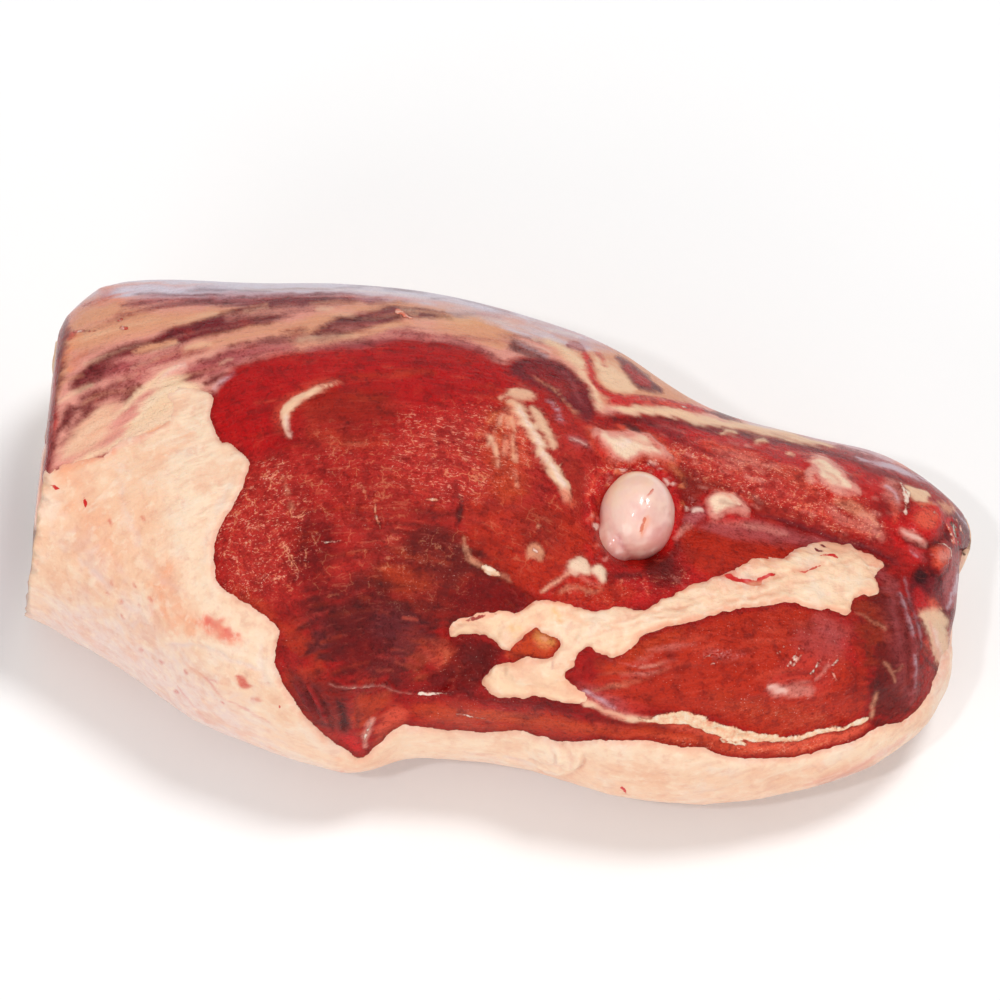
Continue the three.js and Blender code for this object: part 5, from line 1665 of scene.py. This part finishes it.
class LAMB_OT_seam_fat(bpy.types.Operator):
    """Makes the white seam of fat between the muscles"""

    bl_idname = "lamb.seam_fat"
    bl_label = "Seam fat"

    def execute(self, context):
        sizes = context.scene.lamb_sizes
        fat = cad_copy("seam_skin", LEG_NODES, SWELL, SEAM_VOXEL, 10)
        points, normals = points_of(fat), normals_of(fat)
        away = (leg().seam_depth(points) < -3 * MM) | (normals @ OUT_OF_FACE < 0.2)
        keep_piece_at(fat, away, np.array(point_at(*OVER_SEAM)))
        refine(fat, np.ones(len(fat.data.vertices), bool))
        points, normals = points_of(fat), normals_of(fat)
        depth = leg().seam_depth(points)
        painting = Painting(points, "cream", stretch=5)
        painting.draw(SEAM_MARKS)
        thin = 1 - smooth(depth + 1.2 * MM * painting.fray, 0.1 * MM, 1.8 * MM)
        painting.wash("coral", 0.32 * thin)
        rise = lip(depth, sizes.seam_height, SEAM_LIP_WIDTH, 0)
        lumps = 0.8 * MM * rough_field(points, 5 * MM, 41) + 0.4 * MM * rough_field(points, 2 * MM, 42)
        rise += (painting.lift + lumps) * smooth(depth, 0, 2.5 * MM)
        move_points(fat, points + normals * rise[:, None])
        painting.keep(fat)
        applied(fat, "SOLIDIFY", thickness=sizes.seam_thickness, offset=-1)
        return finish_piece(fat, fat_material("raw seam fat"), "seam_fat", "seam_fat")


BALL_MARKS = [
    # The ball's lower side is mauve: painted shade over its pink.
    Mark("mauve", "590,536 612,546 636,552 660,540 676,506 700,540 680,590 600,590", soft=22, share=0.75),
    Mark("rose", "604,540 625,550 655,545 668,520", 8, 14, 0.6),
    # Its upper rim is lighter cream: painted light over its pearly colour.
    Mark("cream", "600,505 608,485 632,474 656,482", 10, 14, 0.8),
    Mark("mauve", "640,500 664,500 668,520 650,530", soft=12, share=0.2),
    Mark("rust", "647,516 642,524 637,535", 2, 2.2, lift=-0.4, taper=0.5),
    Mark("apricot", "650,514 644,526 638,538", 3.4, 3.4, 0.5),
    Mark("rose", "654,491 645,498 647,508", 1.2, 2.2, 0.8, lift=-0.3),
    Mark("rust", "654,488 648,494", 0.9, 2, 0.8),
    # Painted highlight on the ball.
    Mark("pearl", "630,508 636,511", 1.6, 2.4, 0.9),
    # Painted shade on the lobe's lower side and in the crease where it meets the ball.
    Mark("mauve", "590,552 604,564 624,568 636,560", 8, 8, 0.6),
    Mark("mauve", "614,532 620,544 630,554", 2, 3.4, 0.5),
    Mark("tan", "596,542 608,542", 8, 8, 0.5),
    Mark("crimson", "592,480 588,520 594,560 612,572", 3, 4, 0.5),
    Mark("crimson", "676,490 680,520 668,552 650,566", 2.4, 4, 0.5),
]


class LAMB_OT_thigh_bone(bpy.types.Operator):
    """Makes the thigh bone with its pearly ball"""

    bl_idname = "lamb.thigh_bone"
    bl_label = "Thigh bone"

    def execute(self, context):
        bone = cad_copy("thigh_bone", ["femur"], 0, BONE_VOXELS[0], 8)
        balls = (
            (LOBE_RADIUS, LOBE_RADIUS, point_at(*LOBE, ball_depth() + LOBE_RISE)),
            (BALL_RADIUS, BALL_HEIGHT, point_at(*BALL, ball_depth())),
        )
        for wide, high, middle in balls:
            bpy.ops.object.select_all(action="DESELECT")
            bpy.ops.mesh.primitive_uv_sphere_add(
                radius=wide * SQUARE, location=middle, rotation=(math.pi / 2 - FACE_SLOPE, 0, 0),
                scale=(1, high / wide, 1), segments=48, ring_count=24,
            )
            bpy.ops.object.transform_apply(location=True, rotation=True, scale=True)
            bone.select_set(True)
            bpy.context.view_layer.objects.active = bone
            bpy.ops.object.join()
        applied(bone, "REMESH", mode="VOXEL", voxel_size=BONE_VOXELS[1])
        applied(bone, "SMOOTH", factor=0.5, iterations=8)
        bpy.ops.object.shade_smooth()
        points, normals = points_of(bone), normals_of(bone)
        painting = Painting(points, "pearl", stretch=1)
        painting.wash("rose", np.full(len(points), 0.3))
        painting.draw(BALL_MARKS)
        sawn_end = smooth(-leg().sawn(points), -3 * MM, -1 * MM)
        marrow = sawn_end * (1 - smooth(across_bone_end(points), 0.5, 0.66))
        painting.wash("tan", sawn_end * 0.7)
        painting.wash("crimson", marrow * 0.75)
        move_points(bone, points + normals * painting.lift[:, None])
        painting.keep(bone)
        return finish_piece(bone, bone_material(), "bone", "femur")


# ------------------------------------------------------------------ stage

VIEW_DISTANCE = 12
VIEW_WIDTH = 1000 * SQUARE
SENSOR = 36
# The name of each light, the spot that it shines from the side of, its spread and its power.
LIGHTS = [
    ("key", (0.35, 0.1, 1.2), 14, 1.15),
    ("left front", (-0.8, -1.2, 0.6), 30, 0.5),
    ("right front", (0.7, -1.3, 0.5), 30, 0.3),
    ("glints", (-0.25, -0.45, 0.9), 3, 0.4),
]


def far_light(name, spot, spread, power):
    """A wide, far light that shines from the side of a spot, with its spread in degrees."""
    light = bpy.data.lights.new(name, "SUN")
    light.angle, light.energy = math.radians(spread), power
    lamp = bpy.data.objects.new(name, light)
    bpy.context.scene.collection.objects.link(lamp)
    lamp.location = spot
    lamp.rotation_euler = Vector(spot).to_track_quat("Z", "Y").to_euler()


class LAMB_OT_stage(bpy.types.Operator):
    """Sets the pale floor, the soft lights and the camera"""

    bl_idname = "lamb.stage"
    bl_label = "Stage"

    def execute(self, context):
        bpy.ops.object.select_all(action="DESELECT")
        bpy.ops.mesh.primitive_plane_add(size=8)
        floor = context.active_object
        floor.name = "floor"
        paint = Finish("pale floor")
        floor.data.materials.append(paint.surface(Base_Color=(0.99, 0.99, 0.99, 1), Roughness=0.6))
        world = bpy.data.worlds.new("soft room")
        world.use_nodes = True
        world.node_tree.nodes["Background"].inputs["Color"].default_value = (1, 1, 1, 1)
        world.node_tree.nodes["Background"].inputs["Strength"].default_value = 0.5
        context.scene.world = world
        for light in LIGHTS:
            far_light(*light)
        camera = bpy.data.objects.new("camera", bpy.data.cameras.new("camera"))
        context.scene.collection.objects.link(camera)
        aim = point_at(500, 500, 0.04)
        camera.location = aim + Vector(OUT_OF_FACE) * VIEW_DISTANCE
        camera.rotation_euler = (math.pi / 2 - FACE_SLOPE, 0, 0)
        camera.data.sensor_width = SENSOR
        camera.data.lens = SENSOR * VIEW_DISTANCE / VIEW_WIDTH
        camera.data.clip_end = 3 * VIEW_DISTANCE
        context.scene.camera = camera
        context.scene.view_settings.view_transform = "Standard"
        return {"FINISHED"}


OPERATORS = [
    LAMB_OT_muscles, LAMB_OT_fat_cover, LAMB_OT_seam_fat, LAMB_OT_thigh_bone, LAMB_OT_stage,
]


class LAMB_PT_leg(bpy.types.Panel):
    """Lists the steps that dress the leg of lamb"""

    bl_label = "Raw leg of lamb"
    bl_space_type = "VIEW_3D"
    bl_region_type = "UI"
    bl_category = "Lamb"

    def draw(self, context):
        for operator in OPERATORS:
            self.layout.operator(operator.bl_idname)
        for group in (context.scene.lamb_sizes, context.scene.lamb_colours):
            for name in group.__annotations__:
                self.layout.prop(group, name)


CLASSES = [LambSizes, LambColours, *OPERATORS, LAMB_PT_leg]


def register():
    for part in CLASSES:
        bpy.utils.register_class(part)
    bpy.types.Scene.lamb_sizes = PointerProperty(type=LambSizes)
    bpy.types.Scene.lamb_colours = PointerProperty(type=LambColours)


def unregister():
    del bpy.types.Scene.lamb_colours
    del bpy.types.Scene.lamb_sizes
    for part in reversed(CLASSES):
        bpy.utils.unregister_class(part)


def main():
    register()
    bpy.ops.lamb.muscles()
    bpy.ops.lamb.fat_cover()
    bpy.ops.lamb.seam_fat()
    bpy.ops.lamb.thigh_bone()
    bpy.ops.lamb.stage()


if __name__ == "__main__":
    main()
